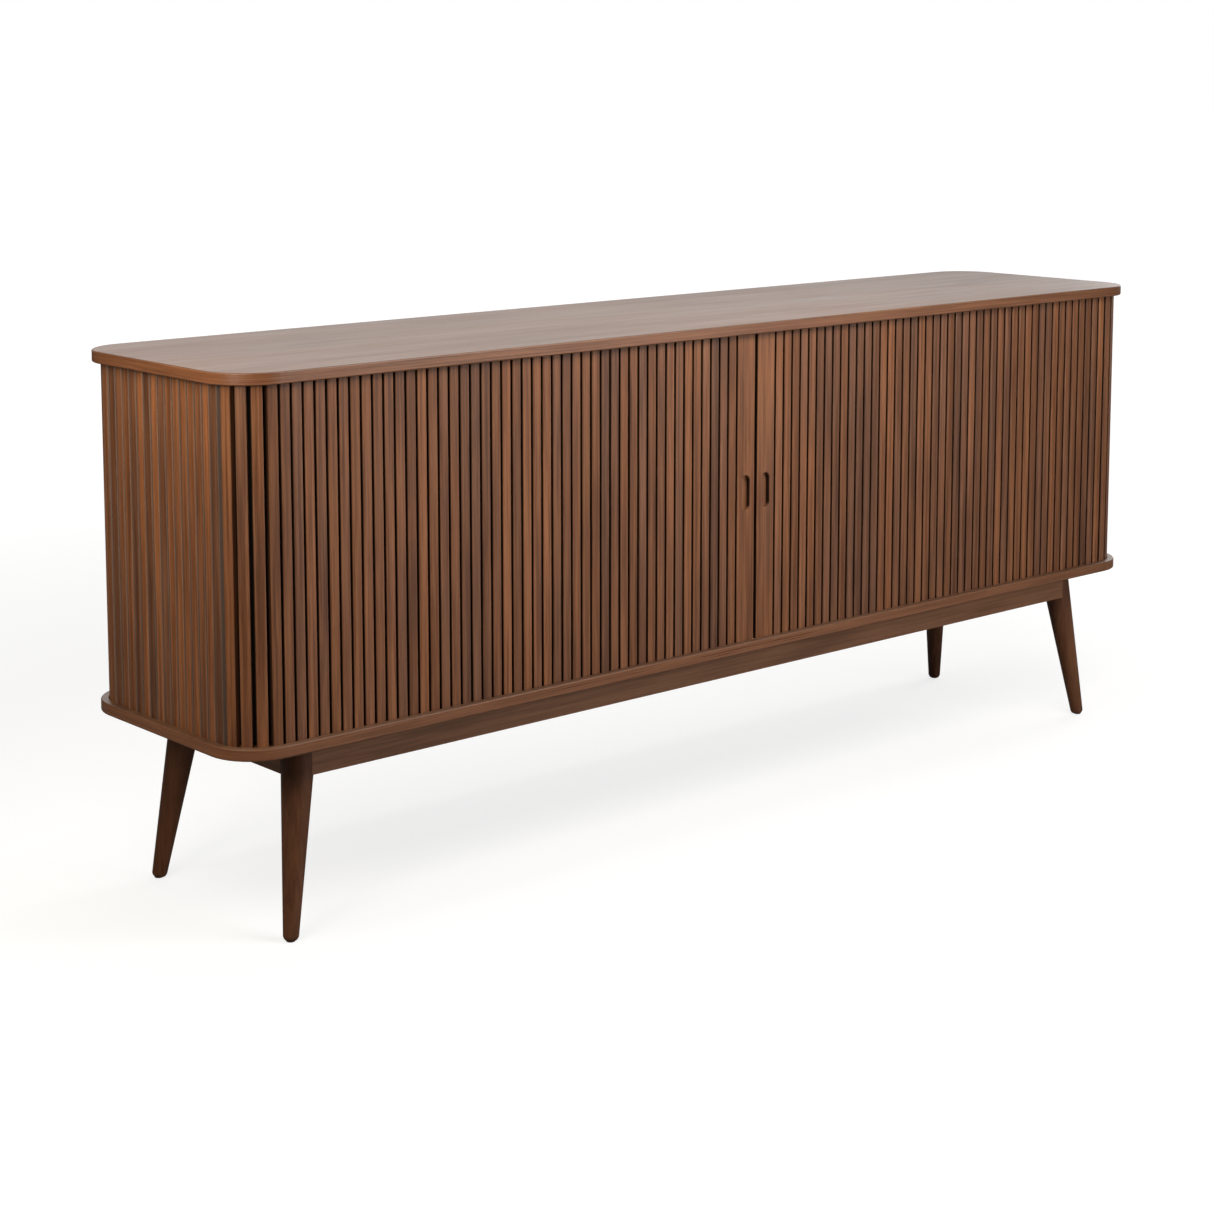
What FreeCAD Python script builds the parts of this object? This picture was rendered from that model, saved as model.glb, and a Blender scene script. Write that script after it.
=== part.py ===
import FreeCAD, Part
import math
import os
import re

import Sketcher
from FreeCAD import Placement, Rotation, Vector

# A sideboard with two tambour doors on a splayed-leg frame.
#
# Millimetres. +X runs along the front to the right, the front faces -Y, and +Z is up. The origin is on
# the floor, under the middle of the cabinet.

SIZES = {
    # Boards
    "board_length": 1800,
    "board_depth": 390,
    "board_thickness": 16,
    "board_corner": 68,
    "board_edge_round": 2,
    "under_height": 252,
    "inner_height": 454,
    # Tambour doors
    "tambour_inset": 11.5,
    "tambour_corner": 56.5,
    "slat_pitch": 17.5,
    "slat_width": 14.1,
    "slat_thickness": 8,
    "slat_round": 1.5,
    "slat_bottom_gap": 0.5,
    "slat_top_gap": 1,
    "near_slats": 2,
    "front_slats": 43,
    "tail_slats": 26,
    "lead_pitch": 39.5,
    "lead_width": 35,
    "lead_thickness": 12,
    "lead_shoulder_gap": 1,
    "recess_width": 16,
    "recess_height": 52,
    "recess_depth": 6.5,
    "recess_above_board": 220,
    "recess_rim": 0.8,
    "cloth_thickness": 0.8,
    "cloth_gap": 0.1,
    "cloth_margin": 4,
    "groove_depth": 6,
    "groove_outer_inset": 10,
    "groove_inner_inset": 20.5,
    "stop_width": 3,
    "stop_height": 5,
    # Uprights, shelves and backs
    "side_thickness": 16,
    "side_inset": 32,
    "side_depth": 300,
    "divider_thickness": 18,
    "divider_nose": 8,
    "shelf_thickness": 16,
    "shelf_depth": 290,
    "shelf_side_gap": 1,
    "shelf_above_board": 219,
    "shelf_round": 1.5,
    "pin_diameter": 5,
    "pin_hole_depth": 8,
    "pin_reach": 7,
    "pin_setback": 40,
    "pin_spacing": 64,
    "pin_gap": 0.1,
    "pin_stub": 10,
    "pin_collar": 1.2,
    "pin_collar_width": 8,
    "pin_collar_height": 7.5,
    "pin_collar_drop": 5.5,
    "dowel_diameter": 8,
    "dowel_board_depth": 11,
    "dowel_panel_depth": 19,
    "dowel_spacing": 110,
    "dowel_gap": 0.1,
    "dowel_end_gap": 0.5,
    "inner_back_thickness": 6,
    "inner_back_gap": 0.3,
    "back_thickness": 5,
    "back_end_inset": 74,
    "back_lap": 12,
    "back_screw_edge": 2.6,
    "back_screw_margin": 26,
    "back_screw_count": 7,
    "back_screw_head": 5,
    "back_screw_shank": 2.4,
    "back_screw_reach": 9,
    "back_screw_cross_width": 0.9,
    "back_screw_cross_length": 3,
    "back_screw_cross_depth": 1,
    # Under frame
    "rail_height": 44,
    "rail_thickness": 22,
    "rail_front_inset": 40,
    "rail_end_inset": 104.5,
    "rail_round": 1.5,
    "tenon_thickness": 8,
    "tenon_height": 28,
    "tenon_length": 13,
    "tenon_end_gap": 0.9,
    "tenon_splay": 4,
    "joint_gap": 0.15,
    "scribe_gap": 0.3,
    "leg_foot_x": 809,
    "leg_foot_y": 161,
    "leg_top_x": 772.5,
    "leg_top_y": 131.5,
    "leg_foot_diameter": 20,
    "leg_top_diameter": 46.5,
    "leg_foot_round": 8,
    "glide_thickness": 1.5,
    "glide_diameter": 12,
    "glide_round": 1.2,
    "glide_gap": 0.05,
    "block_reach": 72,
    "block_height": 36,
    "block_leg_gap": 0.6,
    "block_screw_far": 52,
    "block_screw_near": 9.4,
    "brace_height": 36,
    "bolt_diameter": 8,
    "bolt_head": 13,
    "bolt_head_height": 5.3,
    "bolt_washer": 20,
    "bolt_washer_thickness": 1.6,
    "bolt_washer_gap": 0.3,
    "bolt_reach": 50,
    "bolt_drop": 22,
    "frame_screw_diameter": 4.5,
    "frame_screw_head": 8.5,
    "frame_screw_head_height": 2.5,
    "frame_screw_head_gap": 0.1,
    "frame_screw_reach": 10,
    # Clearances of bored holes, on the diameter and past the end
    "tight_bore": 0.2,
    "free_bore": 0.5,
    "bore_end_gap": 0.5,
}

DOC = FreeCAD.newDocument("sideboard")
SHEET = DOC.addObject("Spreadsheet::Sheet", "Sizes")
PARTS = {}
LEFT = -1
RIGHT = 1
FRONT = -1
BACK = 1
OVERCUT = 1


def fill_sheet():
    """Every driving dimension is one cell, with its name as the cell's alias."""
    for row, (name, number) in enumerate(SIZES.items(), start=1):
        SHEET.set(f"A{row}", name)
        SHEET.set(f"B{row}", str(number))
        SHEET.setAlias(f"B{row}", name)
    DOC.recompute()


def products(text):
    """The signed products of a sum such as 'board_length - 2 * side_inset'."""
    found = re.findall(r"([+-]?)([^+-]+)", text)
    return [(-1 if sign == "-" else 1, product.strip()) for sign, product in found if product.strip()]


def size(text):
    """The value of a sum of products, with each name read from the sheet."""
    total = 0.0
    for sign, product in products(text):
        term = sign
        for word in product.split("*"):
            name = word.strip()
            term *= float(SHEET.get(name)) if name in SIZES else float(name)
        total += term
    return total


def flipped(text):
    """The same sum with every sign turned round."""
    words = "".join((" - " if sign > 0 else " + ") + product for sign, product in products(text))
    return words.removeprefix(" + ").strip()


def bind(thing, field, text):
    """Binds one property to a sum of the sheet's cells."""
    thing.setExpression(field, re.sub(r"[a-z][a-z_]*[a-z]", lambda name: "Sizes." + name.group(0), text))


def place(thing, across="0", along="0", up="0"):
    """Puts an object at X, Y and Z given as sums of the sheet's cells."""
    thing.Placement = Placement(Vector(size(across), size(along), size(up)), thing.Placement.Rotation)
    bind(thing, "Placement.Base.x", across)
    bind(thing, "Placement.Base.y", along)
    bind(thing, "Placement.Base.z", up)


def keep(label, thing):
    """Marks an object as a finished sub-part; its label names its file."""
    thing.Label = label
    PARTS[label] = thing
    return thing


# ---------------------------------------------------------------- sketches and features


def new_body(label):
    return DOC.addObject("PartDesign::Body", label)


def new_sketch(body, name, role, offset="0"):
    """A sketch on one of the body's own origin planes, raised from it by the offset."""
    sketch = body.newObject("Sketcher::SketchObject", name)
    plane = next(item for item in body.Origin.OriginFeatures if item.Role == role)
    sketch.AttachmentSupport = [(plane, "")]
    sketch.MapMode = "FlatFace"
    bind(sketch, "AttachmentOffset.Base.z", offset)
    return sketch


def constrain(sketch, name, text, kind, *where):
    """Adds a named distance or radius and binds it to the sheet."""
    index = sketch.addConstraint(Sketcher.Constraint(kind, *where, size(text)))
    sketch.renameConstraint(index, name)
    bind(sketch, f"Constraints.{name}", text)


def draw_rectangle(sketch, width, height, tag="box"):
    """A rectangle centred on the sketch's origin."""
    half_width = size(width) / 2
    half_height = size(height) / 2
    corners = [
        Vector(-half_width, -half_height, 0),
        Vector(half_width, -half_height, 0),
        Vector(half_width, half_height, 0),
        Vector(-half_width, half_height, 0),
    ]
    first = sketch.GeometryCount
    for index in range(4):
        sketch.addGeometry(Part.LineSegment(corners[index], corners[(index + 1) % 4]))
    for index in range(4):
        following = first + (index + 1) % 4
        sketch.addConstraint(Sketcher.Constraint("Coincident", first + index, 2, following, 1))
        direction = "Horizontal" if index % 2 == 0 else "Vertical"
        sketch.addConstraint(Sketcher.Constraint(direction, first + index))
    sketch.addConstraint(Sketcher.Constraint("Symmetric", first, 1, first + 1, 2, -1, 1))
    constrain(sketch, tag + "_width", width, "DistanceX", first, 1, first, 2)
    constrain(sketch, tag + "_height", height, "DistanceY", first + 1, 1, first + 1, 2)


def draw_rounded_rectangle(sketch, width, height, radius, tag):
    """A rectangle with round corners, centred on the sketch's origin."""
    reach_x = size(width) / 2 - size(radius)
    reach_y = size(height) / 2 - size(radius)
    round_size = size(radius)
    first = sketch.GeometryCount
    for index in range(4):
        turn = Rotation(Vector(0, 0, 1), 90 * index)
        swap = index % 2
        near = Vector(reach_y if swap else reach_x, reach_x if swap else reach_y, 0)
        start = turn.multVec(Vector(-near.x, -near.y - round_size, 0))
        end = turn.multVec(Vector(near.x, -near.y - round_size, 0))
        sketch.addGeometry(Part.LineSegment(start, end))
        centre = turn.multVec(Vector(near.x, -near.y, 0))
        circle = Part.Circle(centre, Vector(0, 0, 1), round_size)
        begin = math.radians(90 * index - 90)
        sketch.addGeometry(Part.ArcOfCircle(circle, begin, begin + math.pi / 2))
    for index in range(4):
        line = first + 2 * index
        arc = line + 1
        following = first + (2 * index + 2) % 8
        sketch.addConstraint(Sketcher.Constraint("Tangent", line, 2, arc, 1))
        sketch.addConstraint(Sketcher.Constraint("Tangent", arc, 2, following, 1))
        if index:
            sketch.addConstraint(Sketcher.Constraint("Equal", first + 1, arc))
    sketch.addConstraint(Sketcher.Constraint("Horizontal", first))
    sketch.addConstraint(Sketcher.Constraint("Vertical", first + 2))
    sketch.addConstraint(Sketcher.Constraint("Symmetric", first + 1, 3, first + 5, 3, -1, 1))
    constrain(sketch, tag + "_radius", radius, "Radius", first + 1)
    constrain(sketch, tag + "_width", width, "DistanceX", first + 6, 1, first + 2, 1)
    constrain(sketch, tag + "_height", height, "DistanceY", first, 1, first + 4, 1)


def draw_circles(sketch, diameter, places):
    """Equal circles with their centres at the given sums of cells."""
    for index, (across, along) in enumerate(places):
        centre = Vector(size(across), size(along), 0)
        circle = sketch.addGeometry(Part.Circle(centre, Vector(0, 0, 1), size(diameter) / 2))
        constrain(sketch, f"bore_{index}", diameter, "Diameter", circle)
        for axis, text, number in (("X", across, centre.x), ("Y", along, centre.y)):
            if abs(number) < 1e-9:
                line = -2 if axis == "X" else -1
                sketch.addConstraint(Sketcher.Constraint("PointOnObject", circle, 3, line))
            elif number > 0:
                constrain(sketch, f"at_{axis}{index}", text, "Distance" + axis, -1, 1, circle, 3)
            else:
                constrain(sketch, f"at_{axis}{index}", flipped(text), "Distance" + axis, circle, 3, -1, 1)


def pad(body, sketch, name, length):
    feature = body.newObject("PartDesign::Pad", name)
    feature.Profile = sketch
    bind(feature, "Length", length)
    DOC.recompute()
    return feature


def pocket(body, sketch, name, length, backwards=False):
    """Cuts against the sketch's normal, or along it, and checks that the cut removed something."""
    before = body.Shape.Volume
    feature = body.newObject("PartDesign::Pocket", name)
    feature.Profile = sketch
    feature.Reversed = backwards
    bind(feature, "Length", length)
    DOC.recompute()
    if body.Shape.Volume > before - 1:
        raise RuntimeError(f"{name} cut nothing from {body.Name}")
    return feature


def round_edges(body, name, radius, wanted):
    """Rounds those edges of the body's last feature that the test picks."""
    last = body.Tip
    picked = [f"Edge{index}" for index, edge in enumerate(last.Shape.Edges, start=1) if wanted(edge)]
    if not picked:
        raise RuntimeError(f"{name} found no edge on {body.Name}")
    feature = body.newObject("PartDesign::Fillet", name)
    feature.Base = (last, picked)
    bind(feature, "Radius", radius)
    DOC.recompute()
    return feature


def is_upright(edge):
    """True for a straight edge that runs up and down."""
    ends = [vertex.Point for vertex in edge.Vertexes]
    return len(ends) == 2 and Vector(ends[1] - ends[0]).normalize().isParallel(Vector(0, 0, 1), 1e-6)


def lies_at(edge, axis, number):
    """True for an edge whose whole length is at one height, depth or distance across."""
    box = edge.BoundBox
    low, high = (getattr(box, axis + "Min"), getattr(box, axis + "Max"))
    return abs(low - number) < 1e-3 and abs(high - number) < 1e-3


# ---------------------------------------------------------------- plain solids made in code


def rod(diameter, start, end):
    """A round rod between two points."""
    run = end - start
    return Part.makeCylinder(diameter / 2, run.Length, start, run)


def group(label, solids):
    """One sub-part made of identical separate solids."""
    feature = DOC.addObject("Part::Feature", label)
    feature.Shape = Part.makeCompound(solids)
    return keep(label, feature)


# ---------------------------------------------------------------- boards


UPRIGHT_LINES = [
    "-0.5 * board_length + side_inset + 0.5 * side_thickness",
    "0",
    "0.5 * board_length - side_inset - 0.5 * side_thickness",
]
DOWEL_ROWS = ["-1 * dowel_spacing", "0", "dowel_spacing"]
RAIL_LINE = "0.5 * board_depth - rail_front_inset - rail_thickness"
BRACE_SCREWS = [("0", "-0.5 * dowel_spacing"), ("0", "0.5 * dowel_spacing")]


def block_screw_places():
    """Two screws up through each corner block, one near each rail."""
    near_end = size("0.5 * board_length - rail_end_inset - rail_thickness")
    near_rail = size(RAIL_LINE)
    far = size("block_screw_far")
    near = size("block_screw_near")
    places = []
    for across in (LEFT, RIGHT):
        for along in (FRONT, BACK):
            places.append((across * (near_end - far), along * (near_rail - near)))
            places.append((across * (near_end - near), along * (near_rail - far)))
    return places


def make_board(label, up, is_top):
    """A board with a closed groove for the slats in its inner face, drawn with that face upward."""
    body = new_body(label)
    outline = new_sketch(body, label + "_outline", "XY_Plane")
    draw_rounded_rectangle(outline, "board_length", "board_depth", "board_corner", "rim")
    pad(body, outline, label + "_slab", "board_thickness")
    thickness = size("board_thickness")
    round_edges(
        body,
        label + "_edges",
        "board_edge_round",
        lambda edge: lies_at(edge, "Z", 0) or lies_at(edge, "Z", thickness),
    )
    groove = new_sketch(body, label + "_groove_lines", "XY_Plane", "board_thickness")
    for inset in ("groove_outer_inset", "groove_inner_inset"):
        draw_rounded_rectangle(
            groove,
            "board_length - 2 * " + inset,
            "board_depth - 2 * " + inset,
            "board_corner - " + inset,
            inset,
        )
    pocket(body, groove, label + "_groove", "groove_depth")
    dowels = new_sketch(body, label + "_dowel_marks", "XY_Plane", "board_thickness")
    draw_circles(
        dowels,
        "dowel_diameter + dowel_gap",
        [(across, along) for across in UPRIGHT_LINES for along in DOWEL_ROWS],
    )
    pocket(body, dowels, label + "_dowel_holes", "dowel_board_depth")
    if is_top:
        body.Placement = Placement(Vector(), Rotation(Vector(1, 0, 0), 180))
    place(body, up=up)
    return body


def back_rebate(label, board):
    """Cuts the seat for the back panel out of a board's back edge."""
    cutter = DOC.addObject("Part::Box", label + "_rebate")
    bind(cutter, "Length", "board_length - 2 * back_end_inset + 2 * joint_gap")
    bind(cutter, "Width", f"back_thickness + {OVERCUT}")
    bind(cutter, "Height", "inner_height + 2 * back_lap + 2 * joint_gap")
    place(
        cutter,
        "-0.5 * board_length + back_end_inset - joint_gap",
        "0.5 * board_depth - back_thickness",
        "under_height + board_thickness - back_lap - joint_gap",
    )
    rebated = DOC.addObject("Part::Cut", label + "_rebated")
    rebated.Base = board
    rebated.Tool = cutter
    return rebated


def bore(label, base, rods):
    """Cuts round holes out of an object."""
    tool = DOC.addObject("Part::Feature", label + "_bores")
    tool.Shape = Part.makeCompound(rods)
    bored = DOC.addObject("Part::Cut", label + "_bored")
    bored.Base = base
    bored.Tool = tool
    return bored


def back_screw_places():
    """Screw axes along the top and bottom edges of the back panel."""
    half = size("0.5 * board_length - back_end_inset")
    low = size("under_height + board_thickness - back_lap + back_screw_edge")
    high = size("under_height + board_thickness + inner_height + back_lap - back_screw_edge")
    end = half - size("back_screw_margin")
    last = round(size("back_screw_count")) - 1
    rows = []
    for index in range(last + 1):
        across = end * (2 * index / last - 1)
        rows.extend([(across, low), (across, high)])
    return rows


def back_screw_rods(diameter, gap=0.0):
    """The shanks of the back panel's screws, or holes for them."""
    outer = size("0.5 * board_depth")
    inner = outer - size("back_thickness + back_screw_reach") - gap
    return [
        rod(diameter, Vector(across, inner, up), Vector(across, outer, up))
        for across, up in back_screw_places()
    ]


def make_boards():
    bottom = make_board("bottom_slab", "under_height", is_top=False)
    rebated = back_rebate("bottom", bottom)
    frame_hole = size("frame_screw_diameter + tight_bore")
    below = size("under_height") - OVERCUT
    above = size("under_height + frame_screw_reach + bore_end_gap")
    frame_holes = [
        rod(frame_hole, Vector(across, along, below), Vector(across, along, above))
        for across, along in frame_screw_places()
    ]
    back_holes = back_screw_rods(size("back_screw_shank + tight_bore"), size("bore_end_gap"))
    keep("bottom_board", bore("bottom", rebated, frame_holes + back_holes))
    top = make_board("top_slab", "under_height + 2 * board_thickness + inner_height", is_top=True)
    keep("top_board", bore("top", back_rebate("top", top), back_holes))


# ---------------------------------------------------------------- uprights, shelves and backs


def pin_places():
    """Rows of shelf-pin holes: two columns, three heights, the middle one in use."""
    columns = ("-0.5 * side_depth + pin_setback", "0.5 * side_depth - pin_setback")
    steps = (" - pin_spacing", "", " + pin_spacing")
    up = "shelf_above_board - 0.5 * pin_diameter"
    return [(column, up + step) for column in columns for step in steps]


def make_upright(label, across, thickness, nose, faces):
    """A standing panel with dowel holes in both ends and pin holes in the named faces."""
    body = new_body(label)
    section = new_sketch(body, label + "_section", "XY_Plane")
    draw_rectangle(section, thickness, "side_depth + " + nose)
    pad(body, section, label + "_panel", "inner_height")
    shift = "0.5 * " + nose
    for name, offset, backwards in (("foot", "0", True), ("head", "inner_height", False)):
        marks = new_sketch(body, f"{label}_{name}_marks", "XY_Plane", offset)
        rows = [row + " + " + shift if row != "0" else shift for row in DOWEL_ROWS]
        draw_circles(marks, "dowel_diameter + dowel_gap", [("0", row) for row in rows])
        pocket(body, marks, f"{label}_{name}_holes", "dowel_panel_depth", backwards)
    for face in faces:
        marks = new_sketch(body, f"{label}_pin_marks_{face + 1}", "YZ_Plane", f"{face * 0.5} * {thickness}")
        rows = [(along + " + " + shift, up) for along, up in pin_places()]
        draw_circles(marks, "pin_diameter + 2 * pin_gap", rows)
        pocket(body, marks, f"{label}_pin_holes_{face + 1}", "pin_hole_depth", backwards=face < 0)
    round_edges(
        body,
        label + "_nosing",
        "slat_round",
        lambda edge: is_upright(edge) and edge.BoundBox.YMax < -size("0.4 * side_depth"),
    )
    place(body, across, "-0.5 * " + nose, "under_height + board_thickness")
    return keep(label, body)


def make_uprights():
    make_upright("inner_side_left", UPRIGHT_LINES[0], "side_thickness", "0 * divider_nose", [RIGHT])
    make_upright("centre_divider", UPRIGHT_LINES[1], "divider_thickness", "divider_nose", [LEFT, RIGHT])
    make_upright("inner_side_right", UPRIGHT_LINES[2], "side_thickness", "0 * divider_nose", [LEFT])


BAY_WIDTH = "0.5 * board_length - side_inset - side_thickness - 0.5 * divider_thickness"
BAY_MIDDLE = "0.25 * board_length - 0.5 * side_inset - 0.5 * side_thickness + 0.25 * divider_thickness"


def make_shelves():
    for label, hand in (("shelf_left", LEFT), ("shelf_right", RIGHT)):
        body = new_body(label)
        outline = new_sketch(body, label + "_outline", "XY_Plane")
        draw_rectangle(outline, BAY_WIDTH + " - 2 * shelf_side_gap", "shelf_depth")
        pad(body, outline, label + "_slab", "shelf_thickness")
        front = -size("0.5 * shelf_depth")
        round_edges(
            body,
            label + "_nosing",
            "shelf_round",
            lambda edge, front=front: lies_at(edge, "Y", front) and not is_upright(edge),
        )
        across = BAY_MIDDLE if hand == RIGHT else flipped(BAY_MIDDLE)
        place(body, across, "0", "under_height + board_thickness + shelf_above_board")
        keep(label, body)


def make_shelf_pins():
    """Four steel pins under each shelf, pushed into the uprights, each with a flat collar."""
    faces = [
        (-size("0.5 * board_length - side_inset - side_thickness"), RIGHT),
        (-size("0.5 * divider_thickness"), LEFT),
        (size("0.5 * divider_thickness"), RIGHT),
        (size("0.5 * board_length - side_inset - side_thickness"), LEFT),
    ]
    up = size("under_height + board_thickness + shelf_above_board - 0.5 * pin_diameter")
    collar = size("pin_collar")
    width = size("pin_collar_width")
    solids = []
    for face, outward in faces:
        for along in (FRONT, BACK):
            column = along * size("0.5 * side_depth - pin_setback")
            start = Vector(face - outward * size("pin_reach"), column, up)
            shoulder = face + outward * size("2 * pin_gap")
            end = Vector(face + outward * size("pin_stub"), column, up)
            pin = rod(size("pin_diameter"), start, end)
            near = min(shoulder, shoulder + outward * collar)
            corner = Vector(near, column - width / 2, up - size("pin_collar_drop"))
            plate = Part.makeBox(collar, width, size("pin_collar_height"), corner)
            solids.append(pin.fuse(plate).removeSplitter())
    group("shelf_pins", solids)


def make_dowels():
    """Beech dowels between every upright and both boards."""
    solids = []
    for line in UPRIGHT_LINES:
        for row in DOWEL_ROWS:
            for seam, towards_board in (
                (size("under_height + board_thickness"), -1),
                (size("under_height + board_thickness + inner_height"), 1),
            ):
                board_end = seam + towards_board * size("dowel_board_depth - dowel_end_gap")
                panel_end = seam - towards_board * size("dowel_panel_depth - dowel_end_gap")
                low, high = sorted((board_end, panel_end))
                spot = Vector(size(line), size(row), low)
                solids.append(rod(size("dowel_diameter - dowel_gap"), spot, Vector(spot.x, spot.y, high)))
    group("dowels", solids)


def make_backs():
    """Two thin inner backs behind the bays, and the outer back panel behind the stored slats."""
    for label, hand in (("inner_back_left", LEFT), ("inner_back_right", RIGHT)):
        body = new_body(label)
        outline = new_sketch(body, label + "_outline", "XZ_Plane")
        width = "0.5 * board_length - side_inset - inner_back_gap"
        draw_rectangle(outline, width, "inner_height - 2 * inner_back_gap")
        pad(body, outline, label + "_sheet", "inner_back_thickness")
        middle = "0.25 * board_length - 0.5 * side_inset + 0.5 * inner_back_gap"
        place(
            body,
            middle if hand == RIGHT else flipped(middle),
            "0.5 * side_depth + inner_back_thickness + inner_back_gap",
            "under_height + board_thickness + 0.5 * inner_height",
        )
        keep(label, body)
    body = new_body("back_panel_sheet")
    outline = new_sketch(body, "back_panel_outline", "XZ_Plane")
    draw_rectangle(outline, "board_length - 2 * back_end_inset", "inner_height + 2 * back_lap")
    pad(body, outline, "back_panel_pad", "back_thickness")
    place(body, "0", "0.5 * board_depth", "under_height + board_thickness + 0.5 * inner_height")
    shanks = back_screw_rods(size("back_screw_shank + tight_bore"))
    countersinks = back_screw_heads(size("0.5 * tight_bore"))
    holes = [shank.fuse(countersink) for shank, countersink in zip(shanks, countersinks)]
    keep("back_panel", bore("back_panel", body, holes))


def back_screw_heads(gap=0.0):
    """Countersunk heads, flush with the back of the panel."""
    outer = size("0.5 * board_depth")
    narrow = size("0.5 * back_screw_shank")
    wide = size("0.5 * back_screw_head") + gap
    depth = wide - narrow
    return [
        Part.makeCone(narrow, wide, depth, Vector(across, outer - depth, up), Vector(0, 1, 0))
        for across, up in back_screw_places()
    ]


def make_back_screws():
    """Screws with a cross-shaped recess in each head."""
    width = size("back_screw_cross_width")
    length = size("back_screw_cross_length")
    depth = size("back_screw_cross_depth")
    outer = size("0.5 * board_depth")
    shanks = back_screw_rods(size("back_screw_shank"))
    solids = []
    for shank, head, (across, up) in zip(shanks, back_screw_heads(), back_screw_places()):
        screw = shank.fuse(head)
        for wide, tall in ((length, width), (width, length)):
            corner = Vector(across - wide / 2, outer - depth, up - tall / 2)
            screw = screw.cut(Part.makeBox(wide, depth + OVERCUT, tall, corner))
        solids.append(screw)
    group("back_screws", solids)


# ---------------------------------------------------------------- tambour doors


def slat_foot():
    return size("under_height + board_thickness - groove_depth + slat_bottom_gap")


def slat_length():
    return size("inner_height + 2 * groove_depth - slat_bottom_gap - slat_top_gap")


def slat_blank(width):
    """A slat standing on Z = 0, its back on Y = 0 and its rounded front towards -Y."""
    half = width / 2
    deep = size("slat_thickness")
    curve = size("slat_round")
    bulge = curve * (1 - math.sqrt(0.5))
    left = Part.Arc(
        Vector(-half, curve - deep, 0), Vector(bulge - half, bulge - deep, 0), Vector(curve - half, -deep, 0)
    )
    right = Part.Arc(
        Vector(half - curve, -deep, 0), Vector(half - bulge, bulge - deep, 0), Vector(half, curve - deep, 0)
    )
    edges = [
        Part.LineSegment(Vector(half, 0, 0), Vector(-half, 0, 0)),
        Part.LineSegment(Vector(-half, 0, 0), Vector(-half, curve - deep, 0)),
        left,
        Part.LineSegment(Vector(curve - half, -deep, 0), Vector(half - curve, -deep, 0)),
        right,
        Part.LineSegment(Vector(half, curve - deep, 0), Vector(half, 0, 0)),
    ]
    outline = Part.Wire([edge.toShape() for edge in edges])
    return Part.Face(outline).extrude(Vector(0, 0, slat_length()))


def groove_point(distance, inward=0.0):
    """The place on the slats' back line at a distance from the seam, and its heading in degrees.

    The line runs along the front, round the corner, along the end, round the back corner and along the
    back, on the right-hand side. Inward moves the line towards the middle of the cabinet.
    """
    radius = size("tambour_corner - slat_thickness")
    corner_x = size("0.5 * board_length - tambour_inset - tambour_corner")
    corner_y = size("0.5 * board_depth - tambour_inset - tambour_corner")
    arc = radius * math.pi / 2
    offset = radius - inward
    if distance <= corner_x:
        return Vector(distance, -corner_y - offset, 0), 0.0
    distance -= corner_x
    if distance <= arc:
        angle = distance / radius
        spot = Vector(corner_x + offset * math.sin(angle), -corner_y - offset * math.cos(angle), 0)
        return spot, math.degrees(angle)
    distance -= arc
    if distance <= 2 * corner_y:
        return Vector(corner_x + offset, -corner_y + distance, 0), 90.0
    distance -= 2 * corner_y
    if distance <= arc:
        angle = distance / radius
        spot = Vector(corner_x + offset * math.cos(angle), corner_y + offset * math.sin(angle), 0)
        return spot, 90 + math.degrees(angle)
    distance -= arc
    return Vector(corner_x - distance, corner_y + offset, 0), 180.0


def mirrored(spot, hand):
    return Vector(hand * spot.x, spot.y, spot.z)


def slats_between(first, last, hand):
    """The slats with these numbers, counted from the lead slat, each turned to follow the groove."""
    blank = slat_blank(size("slat_width"))
    solids = []
    for number in range(first, last):
        spot, heading = groove_point(size("lead_pitch") + (number + 0.5) * size("slat_pitch"))
        slat = blank.copy()
        where = mirrored(spot, hand) + Vector(0, 0, slat_foot())
        slat.Placement = Placement(where, Rotation(Vector(0, 0, 1), hand * heading))
        solids.append(slat)
    return solids


def strip_of_cloth(start, end, hand):
    """Canvas glued across the backs of the slats between two distances from the seam."""
    near = size("cloth_gap")
    far = near + size("cloth_thickness")
    corner_x = size("0.5 * board_length - tambour_inset - tambour_corner")
    arc = size("tambour_corner - slat_thickness") * math.pi / 2
    side = size("board_depth - 2 * tambour_inset - 2 * tambour_corner")
    bends = [corner_x, corner_x + arc, corner_x + arc + side, corner_x + 2 * arc + side]
    stations = sorted({start, end, *[bend for bend in bends if start < bend < end]})
    edges = []
    for inward, order in ((near, stations), (far, stations[::-1])):
        for here, there in zip(order, order[1:]):
            ends = [mirrored(groove_point(at, inward)[0], hand) for at in (here, there)]
            middle = mirrored(groove_point((here + there) / 2, inward)[0], hand)
            flat = middle.distanceToLine(ends[0], ends[1] - ends[0]) < 1e-6
            edges.append(Part.LineSegment(*ends) if flat else Part.Arc(ends[0], middle, ends[1]))
        corner = [mirrored(groove_point(order[-1], depth)[0], hand) for depth in (near, far)]
        edges.append(Part.LineSegment(*(corner if inward == near else corner[::-1])))
    outline = Part.Wire([edge.toShape() for edge in edges])
    bottom = size("under_height + board_thickness + cloth_margin")
    sheet = Part.Face(outline).extrude(Vector(0, 0, size("inner_height - 2 * cloth_margin")))
    sheet.translate(Vector(0, 0, bottom))
    return sheet


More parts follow.
